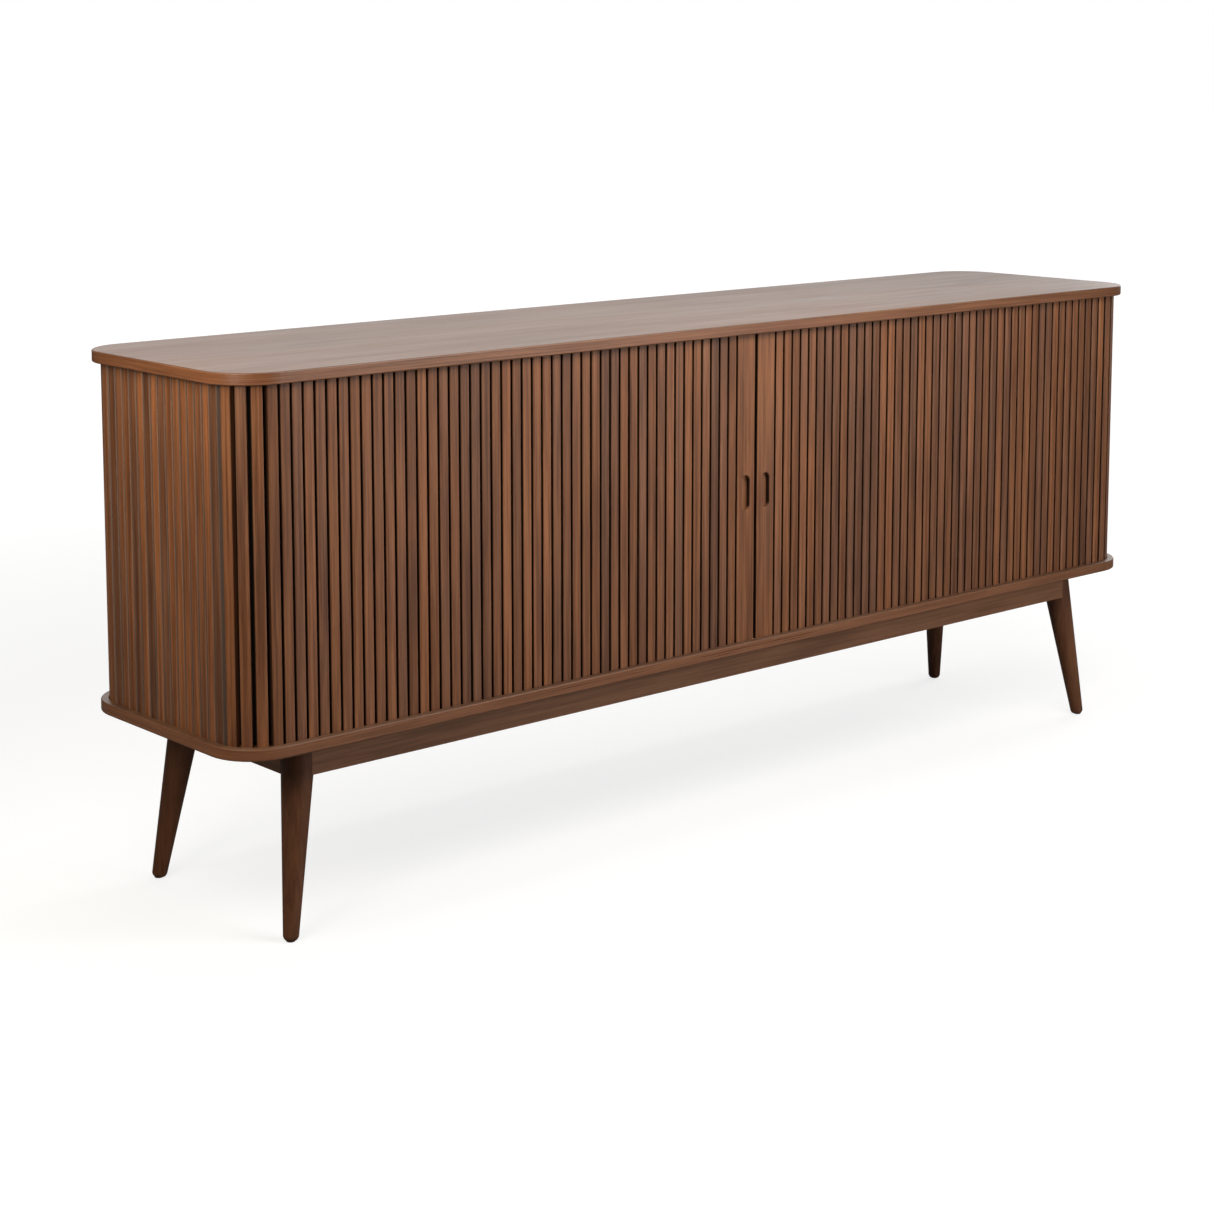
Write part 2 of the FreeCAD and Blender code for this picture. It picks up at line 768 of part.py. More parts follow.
def make_lead_slat(label, hand):
    """The wide slat at the seam: tongues for the grooves, a thicker middle and a finger recess."""
    body = new_body(label)
    tongue = new_sketch(body, label + "_tongue_section", "XY_Plane")
    draw_rectangle(tongue, "lead_width", "slat_thickness")
    pad(body, tongue, label + "_tongue", "inner_height + 2 * groove_depth - slat_bottom_gap - slat_top_gap")
    thick = new_sketch(
        body,
        label + "_middle_section",
        "XY_Plane",
        "groove_depth - slat_bottom_gap + lead_shoulder_gap",
    )
    draw_offset_rectangle(thick)
    pad(body, thick, label + "_middle", "inner_height - 2 * lead_shoulder_gap")
    front = -size("0.5 * slat_thickness")
    round_edges(
        body,
        label + "_edges",
        "slat_round",
        lambda edge: is_upright(edge) and lies_at(edge, "Y", front),
    )
    rim = new_sketch(body, label + "_recess_outline", "XZ_Plane", "0.5 * slat_thickness")
    draw_recess(rim)
    pocket(body, rim, label + "_recess", "recess_depth")
    round_edges(
        body,
        label + "_recess_rim",
        "recess_rim",
        lambda edge: lies_at(edge, "Y", front)
        and edge.BoundBox.XMax < size("0.5 * recess_width") + 0.01
        and edge.BoundBox.XMin > -size("0.5 * recess_width") - 0.01
        and edge.BoundBox.ZMin > size("recess_above_board - recess_height"),
    )
    middle = "lead_pitch - 0.5 * slat_pitch + 0.5 * slat_width - 0.5 * lead_width"
    place(
        body,
        middle if hand == RIGHT else flipped(middle),
        "-0.5 * board_depth + tambour_inset + 0.5 * slat_thickness",
        "under_height + board_thickness - groove_depth + slat_bottom_gap",
    )
    return keep(label, body)


def draw_offset_rectangle(sketch):
    """The thick middle's section: flush with the tongue in front, proud of it behind."""
    half = size("0.5 * lead_width")
    front = -size("0.5 * slat_thickness")
    rear = front + size("lead_thickness")
    corners = [
        Vector(-half, front, 0),
        Vector(half, front, 0),
        Vector(half, rear, 0),
        Vector(-half, rear, 0),
    ]
    for index in range(4):
        sketch.addGeometry(Part.LineSegment(corners[index], corners[(index + 1) % 4]))
    for index in range(4):
        sketch.addConstraint(Sketcher.Constraint("Coincident", index, 2, (index + 1) % 4, 1))
    for index, direction in ((1, "Vertical"), (2, "Horizontal"), (3, "Vertical")):
        sketch.addConstraint(Sketcher.Constraint(direction, index))
    sketch.addConstraint(Sketcher.Constraint("Symmetric", 0, 1, 0, 2, -2))
    constrain(sketch, "width", "lead_width", "DistanceX", 0, 1, 0, 2)
    constrain(sketch, "depth", "lead_thickness", "DistanceY", 1, 1, 1, 2)
    constrain(sketch, "front", "0.5 * slat_thickness", "DistanceY", 0, 1, -1, 1)


def draw_recess(sketch):
    """An upright stadium, its middle at the recess's height above the bottom board."""
    radius = size("0.5 * recess_width")
    reach = size("0.5 * recess_height - 0.5 * recess_width")
    middle = size("recess_above_board + groove_depth - slat_bottom_gap")
    top = Vector(0, middle + reach, 0)
    bottom = Vector(0, middle - reach, 0)
    upper = Part.ArcOfCircle(Part.Circle(top, Vector(0, 0, 1), radius), 0, math.pi)
    lower = Part.ArcOfCircle(Part.Circle(bottom, Vector(0, 0, 1), radius), math.pi, 2 * math.pi)
    side = Vector(radius, 0, 0)
    for curve in (
        upper,
        Part.LineSegment(top - side, bottom - side),
        lower,
        Part.LineSegment(bottom + side, top + side),
    ):
        sketch.addGeometry(curve)
    for index in range(4):
        sketch.addConstraint(Sketcher.Constraint("Tangent", index, 2, (index + 1) % 4, 1))
    sketch.addConstraint(Sketcher.Constraint("Vertical", 1))
    sketch.addConstraint(Sketcher.Constraint("PointOnObject", 0, 3, -2))
    constrain(sketch, "radius", "0.5 * recess_width", "Radius", 0)
    constrain(sketch, "reach", "recess_height - recess_width", "DistanceY", 2, 3, 0, 3)
    constrain(
        sketch,
        "height",
        "recess_above_board + groove_depth - slat_bottom_gap - 0.5 * recess_height + 0.5 * recess_width",
        "DistanceY",
        -1,
        1,
        2,
        3,
    )


def make_doors():
    """Each door is its lead slat, a few slats beside it, the front slats, and the tail round the end."""
    near = round(size("near_slats"))
    front = near + round(size("front_slats"))
    tail = front + round(size("tail_slats"))
    pitch = size("slat_pitch")
    lead = size("lead_pitch")
    seam = size("lead_pitch - 0.5 * slat_pitch + 0.5 * slat_width - lead_width")
    lead_back = size("lead_pitch - 0.5 * slat_pitch + 0.5 * slat_width")
    edge = (pitch - size("slat_width")) / 2
    cut = 0.2
    for name, hand in (("left", LEFT), ("right", RIGHT)):
        make_lead_slat("lead_slat_" + name, hand)
        group("near_slats_" + name, slats_between(0, near, hand))
        group("front_slats_" + name, slats_between(near, front, hand))
        group("tail_slats_" + name, slats_between(front, tail, hand))
        near_end = lead + near * pitch
        front_end = lead + front * pitch
        tail_end = lead + tail * pitch
        group("near_cloth_" + name, [strip_of_cloth(lead_back + edge, near_end - cut, hand)])
        group("front_cloth_" + name, [strip_of_cloth(near_end + cut, front_end - cut, hand)])
        group("tail_cloth_" + name, [strip_of_cloth(front_end + cut, tail_end - edge, hand)])
    if seam < size("0.5 * stop_width"):
        raise RuntimeError("the lead slats meet the stops before they close")


def make_stops():
    """A small block in each groove at the seam, where the lead slats come to rest."""
    width = size("stop_width")
    deep = size("slat_thickness")
    front = -size("0.5 * board_depth - tambour_inset")
    tall = size("stop_height")
    floor_of_groove = size("under_height + board_thickness - groove_depth")
    roof_of_groove = size("under_height + board_thickness + inner_height + groove_depth")
    solids = [
        Part.makeBox(width, deep, tall, Vector(-width / 2, front, floor_of_groove)),
        Part.makeBox(width, deep, tall, Vector(-width / 2, front, roof_of_groove - tall)),
    ]
    group("seam_stops", solids)


# ---------------------------------------------------------------- under frame


LEG_CORNERS = [
    ("front_left", LEFT, FRONT),
    ("front_right", RIGHT, FRONT),
    ("back_left", LEFT, BACK),
    ("back_right", RIGHT, BACK),
]


def leg_axis(across, along):
    """The leg's axis at the floor and at the underside of the bottom board."""
    foot = Vector(across * size("leg_foot_x"), along * size("leg_foot_y"), 0)
    head = Vector(across * size("leg_top_x"), along * size("leg_top_y"), size("under_height"))
    return foot, head


def leg_cone(name, across, along, gap):
    """The turned taper, longer than the leg at both ends, along the splayed axis."""
    foot, head = leg_axis(across, along)
    direction = (head - foot).normalize()
    length = (head - foot).Length
    spare = 20
    slope = size("0.5 * leg_top_diameter - 0.5 * leg_foot_diameter") / length
    cone = DOC.addObject("Part::Cone", name)
    bind(cone, "Radius1", f"0.5 * leg_foot_diameter + {gap} - {spare * slope:.6f}")
    bind(cone, "Radius2", f"0.5 * leg_top_diameter + {gap} + {spare * slope:.6f}")
    cone.Height = length + 2 * spare
    cone.Placement = Placement(foot - direction * spare, Rotation(Vector(0, 0, 1), direction))
    return cone


def box_between(name, low, high):
    """A box from its low corner to its high corner."""
    box = DOC.addObject("Part::Box", name)
    box.Length = high.x - low.x
    box.Width = high.y - low.y
    box.Height = high.z - low.z
    box.Placement.Base = low
    return box


def tenon_box(name, line, along_x, gap=0.0, end_gap=0.0):
    """The tenons at both ends of a rail, or with gaps the mortises for them, as one long box."""
    reach = (size("leg_top_x") if along_x else size("leg_top_y")) - size("0.5 * leg_top_diameter")
    reach += size("tenon_splay + tenon_length") + end_gap
    half = size("0.5 * tenon_thickness") + gap
    middle = size("under_height - 0.5 * rail_height")
    rise = size("0.5 * tenon_height") + gap
    if along_x:
        low, high = Vector(-reach, line - half, middle - rise), Vector(reach, line + half, middle + rise)
    else:
        low, high = Vector(line - half, -reach, middle - rise), Vector(line + half, reach, middle + rise)
    return box_between(name, low, high)


FRONT_RAIL_LINE = "0.5 * board_depth - rail_front_inset - 0.5 * rail_thickness"
END_RAIL_LINE = "0.5 * board_length - rail_end_inset - 0.5 * rail_thickness"


def make_legs():
    """Turned legs, each with two mortises and a bolt hole, cut level at the board and on the glide."""
    top = size("under_height")
    gap = size("joint_gap")
    for name, across, along in LEG_CORNERS:
        label = "leg_" + name
        cone = leg_cone(label + "_taper", across, along, 0)
        slab = box_between(
            label + "_slab",
            Vector(-size("board_length"), -size("board_depth"), 0),
            Vector(size("board_length"), size("board_depth"), top - gap),
        )
        turned = DOC.addObject("Part::Common", label + "_turned")
        turned.Base = cone
        turned.Tool = slab
        end_gap = size("tenon_end_gap")
        front_line = along * size(FRONT_RAIL_LINE)
        end_line = across * size(END_RAIL_LINE)
        front_mortise = tenon_box(label + "_long_mortise", front_line, True, gap, end_gap)
        end_mortise = tenon_box(label + "_short_mortise", end_line, False, gap, end_gap)
        mortised = DOC.addObject("Part::Cut", label + "_mortised")
        mortised.Base = turned
        mortised.Tool = front_mortise
        mortised_twice = DOC.addObject("Part::Cut", label + "_mortised_twice")
        mortised_twice.Base = mortised
        mortised_twice.Tool = end_mortise
        start, direction = bolt_axis(across, along)
        end = start + direction * size("bolt_reach + bore_end_gap")
        bored = bore(label, mortised_twice, [rod(size("bolt_diameter + free_bore"), start, end)])
        DOC.recompute()
        picked = [
            (index, size("leg_foot_round"), size("leg_foot_round"))
            for index, edge in enumerate(bored.Shape.Edges, start=1)
            if lies_at(edge, "Z", 0)
        ]
        rounded = DOC.addObject("Part::Fillet", label + "_rounded")
        rounded.Base = bored
        rounded.Edges = picked
        seat = box_between(
            label + "_glide_seat",
            Vector(-size("board_length"), -size("board_depth"), -size("leg_foot_diameter")),
            Vector(size("board_length"), size("board_depth"), size("glide_thickness")),
        )
        seated = DOC.addObject("Part::Cut", label + "_seated")
        seated.Base = rounded
        seated.Tool = seat
        keep(label, seated)


def make_rail(label, low, high, tenons, legs):
    """A rail with ends shaped to fit round the legs, and a tenon at each end."""
    blank = box_between(label + "_blank", low, high)
    DOC.recompute()
    rounded = DOC.addObject("Part::Fillet", label + "_eased")
    rounded.Base = blank
    rounded.Edges = [
        (index, size("rail_round"), size("rail_round"))
        for index, edge in enumerate(blank.Shape.Edges, start=1)
        if lies_at(edge, "Z", low.z) and edge.Length > 100
    ]
    shaped = rounded
    for number, (across, along) in enumerate(legs):
        cone = leg_cone(f"{label}_scribe_{number}", across, along, size("scribe_gap"))
        scribed = DOC.addObject("Part::Cut", f"{label}_scribed_{number}")
        scribed.Base = shaped
        scribed.Tool = cone
        shaped = scribed
    fused = DOC.addObject("Part::Fuse", label + "_with_tenons")
    fused.Base = shaped
    fused.Tool = tenons
    return keep(label, fused)


def make_rails():
    low_z = size("under_height - rail_height")
    high_z = size("under_height - joint_gap")
    half = size("0.5 * rail_thickness")
    end_x = size("leg_top_x")
    end_y = size("leg_top_y")
    for label, along in (("front_rail", FRONT), ("back_rail", BACK)):
        line = along * size(FRONT_RAIL_LINE)
        make_rail(
            label,
            Vector(-end_x, line - half, low_z),
            Vector(end_x, line + half, high_z),
            tenon_box(label + "_tenons", line, along_x=True),
            [(LEFT, along), (RIGHT, along)],
        )
    for label, across in (("end_rail_left", LEFT), ("end_rail_right", RIGHT)):
        line = across * size(END_RAIL_LINE)
        make_rail(
            label,
            Vector(line - half, -end_y, low_z),
            Vector(line + half, end_y, high_z),
            tenon_box(label + "_tenons", line, along_x=False),
            [(across, FRONT), (across, BACK)],
        )


def make_brace():
    """A cross brace between the long rails, under the centre divider."""
    inner = size(RAIL_LINE + " - joint_gap")
    half = size("0.5 * rail_thickness")
    top = size("under_height - joint_gap")
    blank = box_between(
        "brace_blank",
        Vector(-half, -inner, size("under_height - brace_height")),
        Vector(half, inner, top),
    )
    hole = size("frame_screw_diameter + free_bore")
    holes = [rod(hole, Vector(x, y, 0), Vector(x, y, top + OVERCUT)) for x, y in brace_screw_places()]
    keep("cross_brace", bore("brace", blank, holes))


def brace_screw_places():
    return [(size(across), size(along)) for across, along in BRACE_SCREWS]


def frame_screw_places():
    return block_screw_places() + brace_screw_places()


def block_corner(across, along, up):
    """The corner between two rails that a corner block fits into."""
    inner_x = size("0.5 * board_length - rail_end_inset - rail_thickness - joint_gap")
    inner_y = size(RAIL_LINE + " - joint_gap")
    return Vector(across * inner_x, along * inner_y, up)


def bolt_axis(across, along):
    """Where a leg bolt enters the corner block's long face, and its direction towards the leg's axis."""
    up = size("under_height - bolt_drop")
    half_reach = size("0.5 * block_reach")
    start = block_corner(across, along, up) - Vector(across * half_reach, along * half_reach, 0)
    foot, head = leg_axis(across, along)
    target = foot + (head - foot) * (up / size("under_height"))
    return start, (target - start).normalize()


def make_corner_blocks():
    """A three-cornered block inside each corner of the frame, hollowed to clear the leg."""
    reach = size("block_reach")
    low = size("under_height - block_height")
    tall = size("block_height - joint_gap")
    screw_hole = size("frame_screw_diameter + free_bore")
    solids = []
    for name, across, along in LEG_CORNERS:
        corner = block_corner(across, along, low)
        points = [corner, corner - Vector(across * reach, 0, 0), corner - Vector(0, along * reach, 0)]
        block = Part.Face(Part.makePolygon(points + points[:1])).extrude(Vector(0, 0, tall))
        cone = leg_cone("block_hollow_" + name, across, along, size("block_leg_gap"))
        DOC.recompute()
        start, direction = bolt_axis(across, along)
        bolt_hole = rod(
            size("bolt_diameter + free_bore"),
            start - direction * OVERCUT,
            start + direction * size("bolt_reach"),
        )
        screw_holes = [
            rod(screw_hole, Vector(x, y, low - OVERCUT), Vector(x, y, low + tall + OVERCUT))
            for x, y in block_screw_places()
        ]
        solids.append(block.cut([cone.Shape, bolt_hole, *screw_holes]))
    group("corner_blocks", solids)


def make_leg_bolts():
    """A hexagon-headed bolt and washer through each corner block into its leg."""
    solids = []
    corner_radius = size("0.5 * bolt_head") / math.cos(math.pi / 6)
    for _, across, along in LEG_CORNERS:
        start, direction = bolt_axis(across, along)
        washer_back = start - direction * size("bolt_washer_gap")
        washer_face = washer_back - direction * size("bolt_washer_thickness")
        head_face = washer_face - direction * size("bolt_head_height")
        shank = rod(size("bolt_diameter"), washer_face, start + direction * size("bolt_reach"))
        washer = rod(size("bolt_washer"), washer_face, washer_back)
        turn = Rotation(Vector(0, 0, 1), direction)
        corners = []
        for index in range(6):
            angle = math.radians(60 * index)
            arm = Vector(math.cos(angle), math.sin(angle), 0) * corner_radius
            corners.append(head_face + turn.multVec(arm))
        head = Part.Face(Part.makePolygon(corners + corners[:1]))
        head = head.extrude(direction * size("bolt_head_height"))
        solids.append(shank.fuse([washer, head]).removeSplitter())
    group("leg_bolts", solids)


def make_frame_screws():
    """Screws that hold the corner blocks and the cross brace up against the bottom board."""
    top = size("under_height + frame_screw_reach")
    diameter = size("frame_screw_diameter")
    head_diameter = size("frame_screw_head")
    solids = []
    seats = [(x, y, size("under_height - block_height")) for x, y in block_screw_places()]
    seats += [(x, y, size("under_height - brace_height")) for x, y in brace_screw_places()]
    for x, y, seat in seats:
        head_top = seat - size("frame_screw_head_gap")
        head_bottom = head_top - size("frame_screw_head_height")
        shank = rod(diameter, Vector(x, y, head_bottom), Vector(x, y, top))
        head = rod(head_diameter, Vector(x, y, head_bottom), Vector(x, y, head_top))
        solids.append(shank.fuse(head).removeSplitter())
    group("frame_screws", solids)


def make_glides():
    """A thin glide under each foot; the cabinet stands on these four."""
    solids = []
    for _, across, along in LEG_CORNERS:
        foot, _ = leg_axis(across, along)
        disc = rod(size("glide_diameter"), foot, foot + Vector(0, 0, size("glide_thickness - glide_gap")))
        rim = [edge for edge in disc.Edges if lies_at(edge, "Z", 0)]
        solids.append(disc.makeFillet(size("glide_round"), rim))
    group("foot_glides", solids)


# ---------------------------------------------------------------- build, check and write


def check_document():
    """Stops if any object failed, or if a sub-part's shape is empty or not valid."""
    for thing in DOC.Objects:
        if any(word in ("Invalid", "Error") for word in thing.State):
            raise RuntimeError(f"{thing.Label} failed: {thing.State}")
    for label, thing in PARTS.items():
        shape = thing.Shape
        if shape.isNull() or not shape.isValid() or not shape.Solids:
            raise RuntimeError(f"{label} has no valid solid")


def write_parts():
    os.makedirs("parts", exist_ok=True)
    for label, thing in PARTS.items():
        thing.Shape.exportStep(os.path.join("parts", label + ".step"))
        box = thing.Shape.BoundBox
        print(
            f"{label:20s} solids {len(thing.Shape.Solids):3d}  "
            f"X {box.XMin:8.1f} {box.XMax:8.1f}  Y {box.YMin:8.1f} {box.YMax:8.1f}  "
            f"Z {box.ZMin:7.1f} {box.ZMax:7.1f}  volume {thing.Shape.Volume / 1000:.1f} cm3"
        )


fill_sheet()
make_boards()
make_uprights()
make_shelves()
make_shelf_pins()
make_dowels()
make_backs()
make_back_screws()
make_doors()
make_stops()
make_legs()
make_rails()
make_brace()
make_corner_blocks()
make_leg_bolts()
make_frame_screws()
make_glides()
DOC.recompute()
check_document()
write_parts()
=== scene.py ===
import math

import bmesh
import bpy
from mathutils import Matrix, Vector


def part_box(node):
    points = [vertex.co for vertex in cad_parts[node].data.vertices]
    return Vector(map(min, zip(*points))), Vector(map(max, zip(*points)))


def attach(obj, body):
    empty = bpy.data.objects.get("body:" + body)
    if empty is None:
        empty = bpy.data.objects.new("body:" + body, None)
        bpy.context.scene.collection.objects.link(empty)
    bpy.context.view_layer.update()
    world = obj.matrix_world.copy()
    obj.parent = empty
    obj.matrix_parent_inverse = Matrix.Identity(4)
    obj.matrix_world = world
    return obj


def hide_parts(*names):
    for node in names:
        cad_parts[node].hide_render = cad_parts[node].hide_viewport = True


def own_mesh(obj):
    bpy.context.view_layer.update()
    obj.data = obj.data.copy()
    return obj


# A walnut sideboard with two tambour doors. Metres, in the CAD frame: +X along the front to the
# right, the front faces -Y, +Z is up, and the floor is Z = 0.

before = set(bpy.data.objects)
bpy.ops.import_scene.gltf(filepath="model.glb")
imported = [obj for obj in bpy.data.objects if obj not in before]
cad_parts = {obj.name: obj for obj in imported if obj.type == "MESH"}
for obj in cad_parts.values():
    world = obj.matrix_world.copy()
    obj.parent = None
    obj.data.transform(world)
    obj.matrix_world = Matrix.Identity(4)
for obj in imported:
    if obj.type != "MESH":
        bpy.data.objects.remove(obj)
bpy.context.view_layer.update()

LEFT = -1
RIGHT = 1
SIDES = (("left", LEFT), ("right", RIGHT))

# ---------------------------------------------------------------- sizes shared with the CAD model

SLAT_PITCH = 0.0175
SLAT_WIDTH = 0.0141
SLAT_THICKNESS = 0.008
SLAT_ROUND = 0.0015
LEAD_PITCH = 0.0395
NEAR_SLATS = 2
FRONT_SLATS = 43
CORNER_RADIUS = 0.0485
BOARD_CORNER = 0.068
CLOTH_THICKNESS = 0.0008
CLOTH_GAP = 0.0001
CLOTH_CUT = 0.0002

slat_low, slat_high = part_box("front_slats_right")
cloth_low, cloth_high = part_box("front_cloth_right")
_, tail_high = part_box("tail_slats_right")
SLAT_BACK = slat_low.y + SLAT_THICKNESS
CENTRE_X = tail_high.x - SLAT_THICKNESS - CORNER_RADIUS
CENTRE_Y = -SLAT_BACK - CORNER_RADIUS

# ---------------------------------------------------------------- choices of the visual model

SHARP_DEGREES = 35
ROUND_STEPS = 4
CLOTH_STEPS_PER_SLAT = 3

# Dark, middle and light tones of each timber.
WALNUT_FACE = ((0.078, 0.035, 0.0180), (0.118, 0.056, 0.0290), (0.160, 0.080, 0.0430))
WALNUT_EDGE = ((0.090, 0.034, 0.0150), (0.168, 0.067, 0.0300), (0.250, 0.106, 0.0480))
WALNUT_WARM = ((0.105, 0.036, 0.0133), (0.187, 0.0695, 0.0265), (0.258, 0.104, 0.0418))
WALNUT_COOL = ((0.080, 0.031, 0.0155), (0.131, 0.0545, 0.0270), (0.187, 0.082, 0.0425))
WALNUT_INSIDE = ((0.080, 0.037, 0.0190), (0.140, 0.069, 0.035), (0.200, 0.106, 0.056))
WALNUT_FRAME = ((0.120, 0.050, 0.0230), (0.215, 0.094, 0.0440), (0.310, 0.140, 0.070))
WALNUT_LEG = ((0.057, 0.0213, 0.0093), (0.105, 0.0405, 0.0180), (0.156, 0.0625, 0.0285))
BEECH = ((0.380, 0.235, 0.125), (0.500, 0.330, 0.185), (0.600, 0.415, 0.250))
# Painted shade: a darker tone laid along the boards' rounded arrises.
ARRIS_PAINTED_SHADE = (0.075, 0.030, 0.013)
PALE_ARRIS = (0.28, 0.15, 0.08)
# Painted shade: nearly black, laid on the slats' flanks in the gaps of the front run.
FLANK_PAINTED_SHADE = (0.012, 0.007, 0.005)
# Painted sheen: a pale tone laid on the end run's flanks that face the front.
FLANK_PAINTED_SHEEN = (0.200, 0.152, 0.130)
FOOT_SCUFF = (0.16, 0.09, 0.05)

# Shares of growth bands, streaks and blotches in a timber's figure.
VENEER_SHARES = (0.45, 0.4, 0.15)
EDGE_SHARES = (0.25, 0.65, 0.1)
SLAT_SHARES = (0.3, 0.6, 0.1)
PORE_DARKNESS = 0.55

# Bump depths in metres.
BOARD_BUMP = 0.00006
TIMBER_BUMP = 0.00007
LEG_BUMP = 0.00005
CANVAS_BUMP = 0.0001
STEEL_BUMP = 0.00003
NYLON_BUMP = 0.00004
FLOOR_BUMP = 0.0001

# The two lead slats share one middle tone and hue; every other slat draws its own.
LEAD_TONE = 0.5
LEAD_HUE = 0.45
SIDE_SEED = 101.5
SLAT_SHIFTS = (7.3, 5.1, 9.7)
WEAVE_PERIOD = 0.0016

FLOOR_SIZE = 40
FLOOR_GLOW_NEAR = 0.76
FLOOR_GLOW_FAR = 1.0
FLOOR_FADE = (1.3, 3.4)
FLOOR_BOUNCE = (0.22, 0.217, 0.213)
WHITE = (1.0, 1.0, 1.0)
ROOM_COLOUR = (1.0, 0.985, 0.97)
ROOM_LIGHT = 0.06
WALL_LIGHT = 1.2
WALL_DIRECTION = (0.72, 0.68, 0.14)
WALL_EDGE = 0.45
WALL_CORE = 0.92

SOFT_WHITE = (1.0, 0.985, 0.965)
SOFT_WARM = (1.0, 0.88, 0.70)
SOFT_AMBER = (1.0, 0.89, 0.74)

# Name, place, target, width, height, power in watts, colour.
SOFTBOXES = (
    ("key_centre", (0.0, -0.95, 1.35), (0.0, -0.19, 0.58), 0.9, 0.5, 12.6, SOFT_WHITE),
    ("key_right", (1.05, -2.4, 0.95), (0.1, -0.1, 0.45), 1.8, 0.8, 26.0, SOFT_WHITE),
    ("key_top", (0.0, 0.1, 2.1), (0.0, 0.0, 0.74), 1.8, 0.7, 17.0, SOFT_WHITE),
    ("side_left", (-1.27, -0.10, 1.07), (-0.89, 0.03, 0.58), 0.4, 0.4, 3.2, SOFT_WARM),
    ("corner_strip", (-1.80, -0.55, 0.95), (-0.87, -0.14, 0.66), 0.35, 0.45, 5.8, SOFT_AMBER),
    ("corner_near", (-1.32, -0.60, 0.92), (-0.87, -0.16, 0.68), 0.25, 0.25, 1.6, SOFT_AMBER),
    ("fill_right", (2.1, 0.25, 1.1), (0.89, 0.0, 0.5), 0.8, 0.8, 7.0, SOFT_WHITE),
)

CAMERA_PLACE = (-2.4398, -2.6159, 1.1115)
CAMERA_HEADING = 41.46
CAMERA_PITCH = 7.22
CAMERA_LENS = 70.60
CAMERA_SENSOR = 36.0
CAMERA_SHIFT = -0.20
CAMERA_CLIP = (0.05, 200.0)

# ---------------------------------------------------------------- meshes


def new_piece(name, build):
    """An object whose mesh the function fills in."""
    mesh = bpy.data.meshes.new(name)
    shape = bmesh.new()
    build(shape)
    bmesh.ops.recalc_face_normals(shape, faces=shape.faces)
    shape.to_mesh(mesh)
    shape.free()
    mesh.shade_smooth()
    mesh.set_sharp_from_angle(angle=math.radians(SHARP_DEGREES))
    piece = bpy.data.objects.new(name, mesh)
    bpy.context.scene.collection.objects.link(piece)
    return piece


def join_rings(shape, here, there):
    """Quads between two rings with the same number of corners."""
    for index in range(len(here)):
        following = (index + 1) % len(here)
        shape.faces.new((here[index], here[following], there[following], there[index]))


def prism(shape, outline, low, high):
    """An upright prism over an outline of (x, y) points."""
    bottom = [shape.verts.new((x, y, low)) for x, y in outline]
    top = [shape.verts.new((x, y, high)) for x, y in outline]
    shape.faces.new(bottom[::-1])
    shape.faces.new(top)
    join_rings(shape, bottom, top)


def slat_outline(middle):
    """A slat's section: square at the back, its two front edges rounded."""
    half = SLAT_WIDTH / 2
    front = SLAT_BACK - SLAT_THICKNESS
    points = [(middle + half, SLAT_BACK), (middle - half, SLAT_BACK)]
    for corner, start in ((-1, 180), (1, 270)):
        across = middle + corner * (half - SLAT_ROUND)
        for step in range(ROUND_STEPS + 1):
            angle = math.radians(start + 90 * step / ROUND_STEPS)
            points.append(
                (
                    across + SLAT_ROUND * math.cos(angle),
                    front + SLAT_ROUND + SLAT_ROUND * math.sin(angle),
                )
            )
    return points


def track_point(distance, inward):
    """A point behind the right-hand slats, at a distance from the seam along their back line."""
    arc = CORNER_RADIUS * math.pi / 2
    reach = CORNER_RADIUS - inward
    if distance <= CENTRE_X:
        return distance, -CENTRE_Y - reach
    distance -= CENTRE_X
    if distance <= arc:
        angle = distance / CORNER_RADIUS
        return CENTRE_X + reach * math.sin(angle), -CENTRE_Y - reach * math.cos(angle)
    distance -= arc
    if distance <= 2 * CENTRE_Y:
        return CENTRE_X + reach, distance - CENTRE_Y
    distance -= 2 * CENTRE_Y
    if distance <= arc:
        angle = distance / CORNER_RADIUS
        return CENTRE_X + reach * math.cos(angle), CENTRE_Y + reach * math.sin(angle)
    return CENTRE_X - (distance - arc), CENTRE_Y + reach


def cloth_strip(shape, start, end, hand):
    """A closed thin strip of canvas along the back of the slats."""
    count = max(2, round((end - start) * CLOTH_STEPS_PER_SLAT / SLAT_PITCH))
    rows = []
    for index in range(count + 1):
        distance = start + (end - start) * index / count
        near = track_point(distance, CLOTH_GAP)
        far = track_point(distance, CLOTH_GAP + CLOTH_THICKNESS)
        corners = (
            (near, cloth_low.z),
            (near, cloth_high.z),
            (far, cloth_high.z),
            (far, cloth_low.z),
        )
        rows.append([shape.verts.new((hand * x, y, z)) for (x, y), z in corners])
    shape.faces.new(rows[0])
    shape.faces.new(rows[-1])
    for here, there in zip(rows, rows[1:]):
        join_rings(shape, here, there)


def front_slats(shape, hand):
    """The straight run of slats between the first two and the front corner."""
    for number in range(NEAR_SLATS, NEAR_SLATS + FRONT_SLATS):
        middle = hand * (LEAD_PITCH + (number + 0.5) * SLAT_PITCH)
        prism(shape, slat_outline(middle), slat_low.z, slat_high.z)


def canvas_spans(side):
    """Each canvas node's start and end along the slats' back line, and the body it rides."""
    ends = {}
    for part in ("near", "front", "tail"):
        low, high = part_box(f"{part}_cloth_{side}")
        ends[part] = sorted((abs(low.x), abs(high.x)))
    tail_start = LEAD_PITCH + (NEAR_SLATS + FRONT_SLATS) * SLAT_PITCH + CLOTH_CUT
    tail_end = CENTRE_X * 2 + CORNER_RADIUS * math.pi + 2 * CENTRE_Y - ends["tail"][0]
    door = side + "_door"
    return {
        "near": (*ends["near"], door),
        "front": (*ends["front"], door),
        "tail": (tail_start, tail_end, "carcass"),
    }


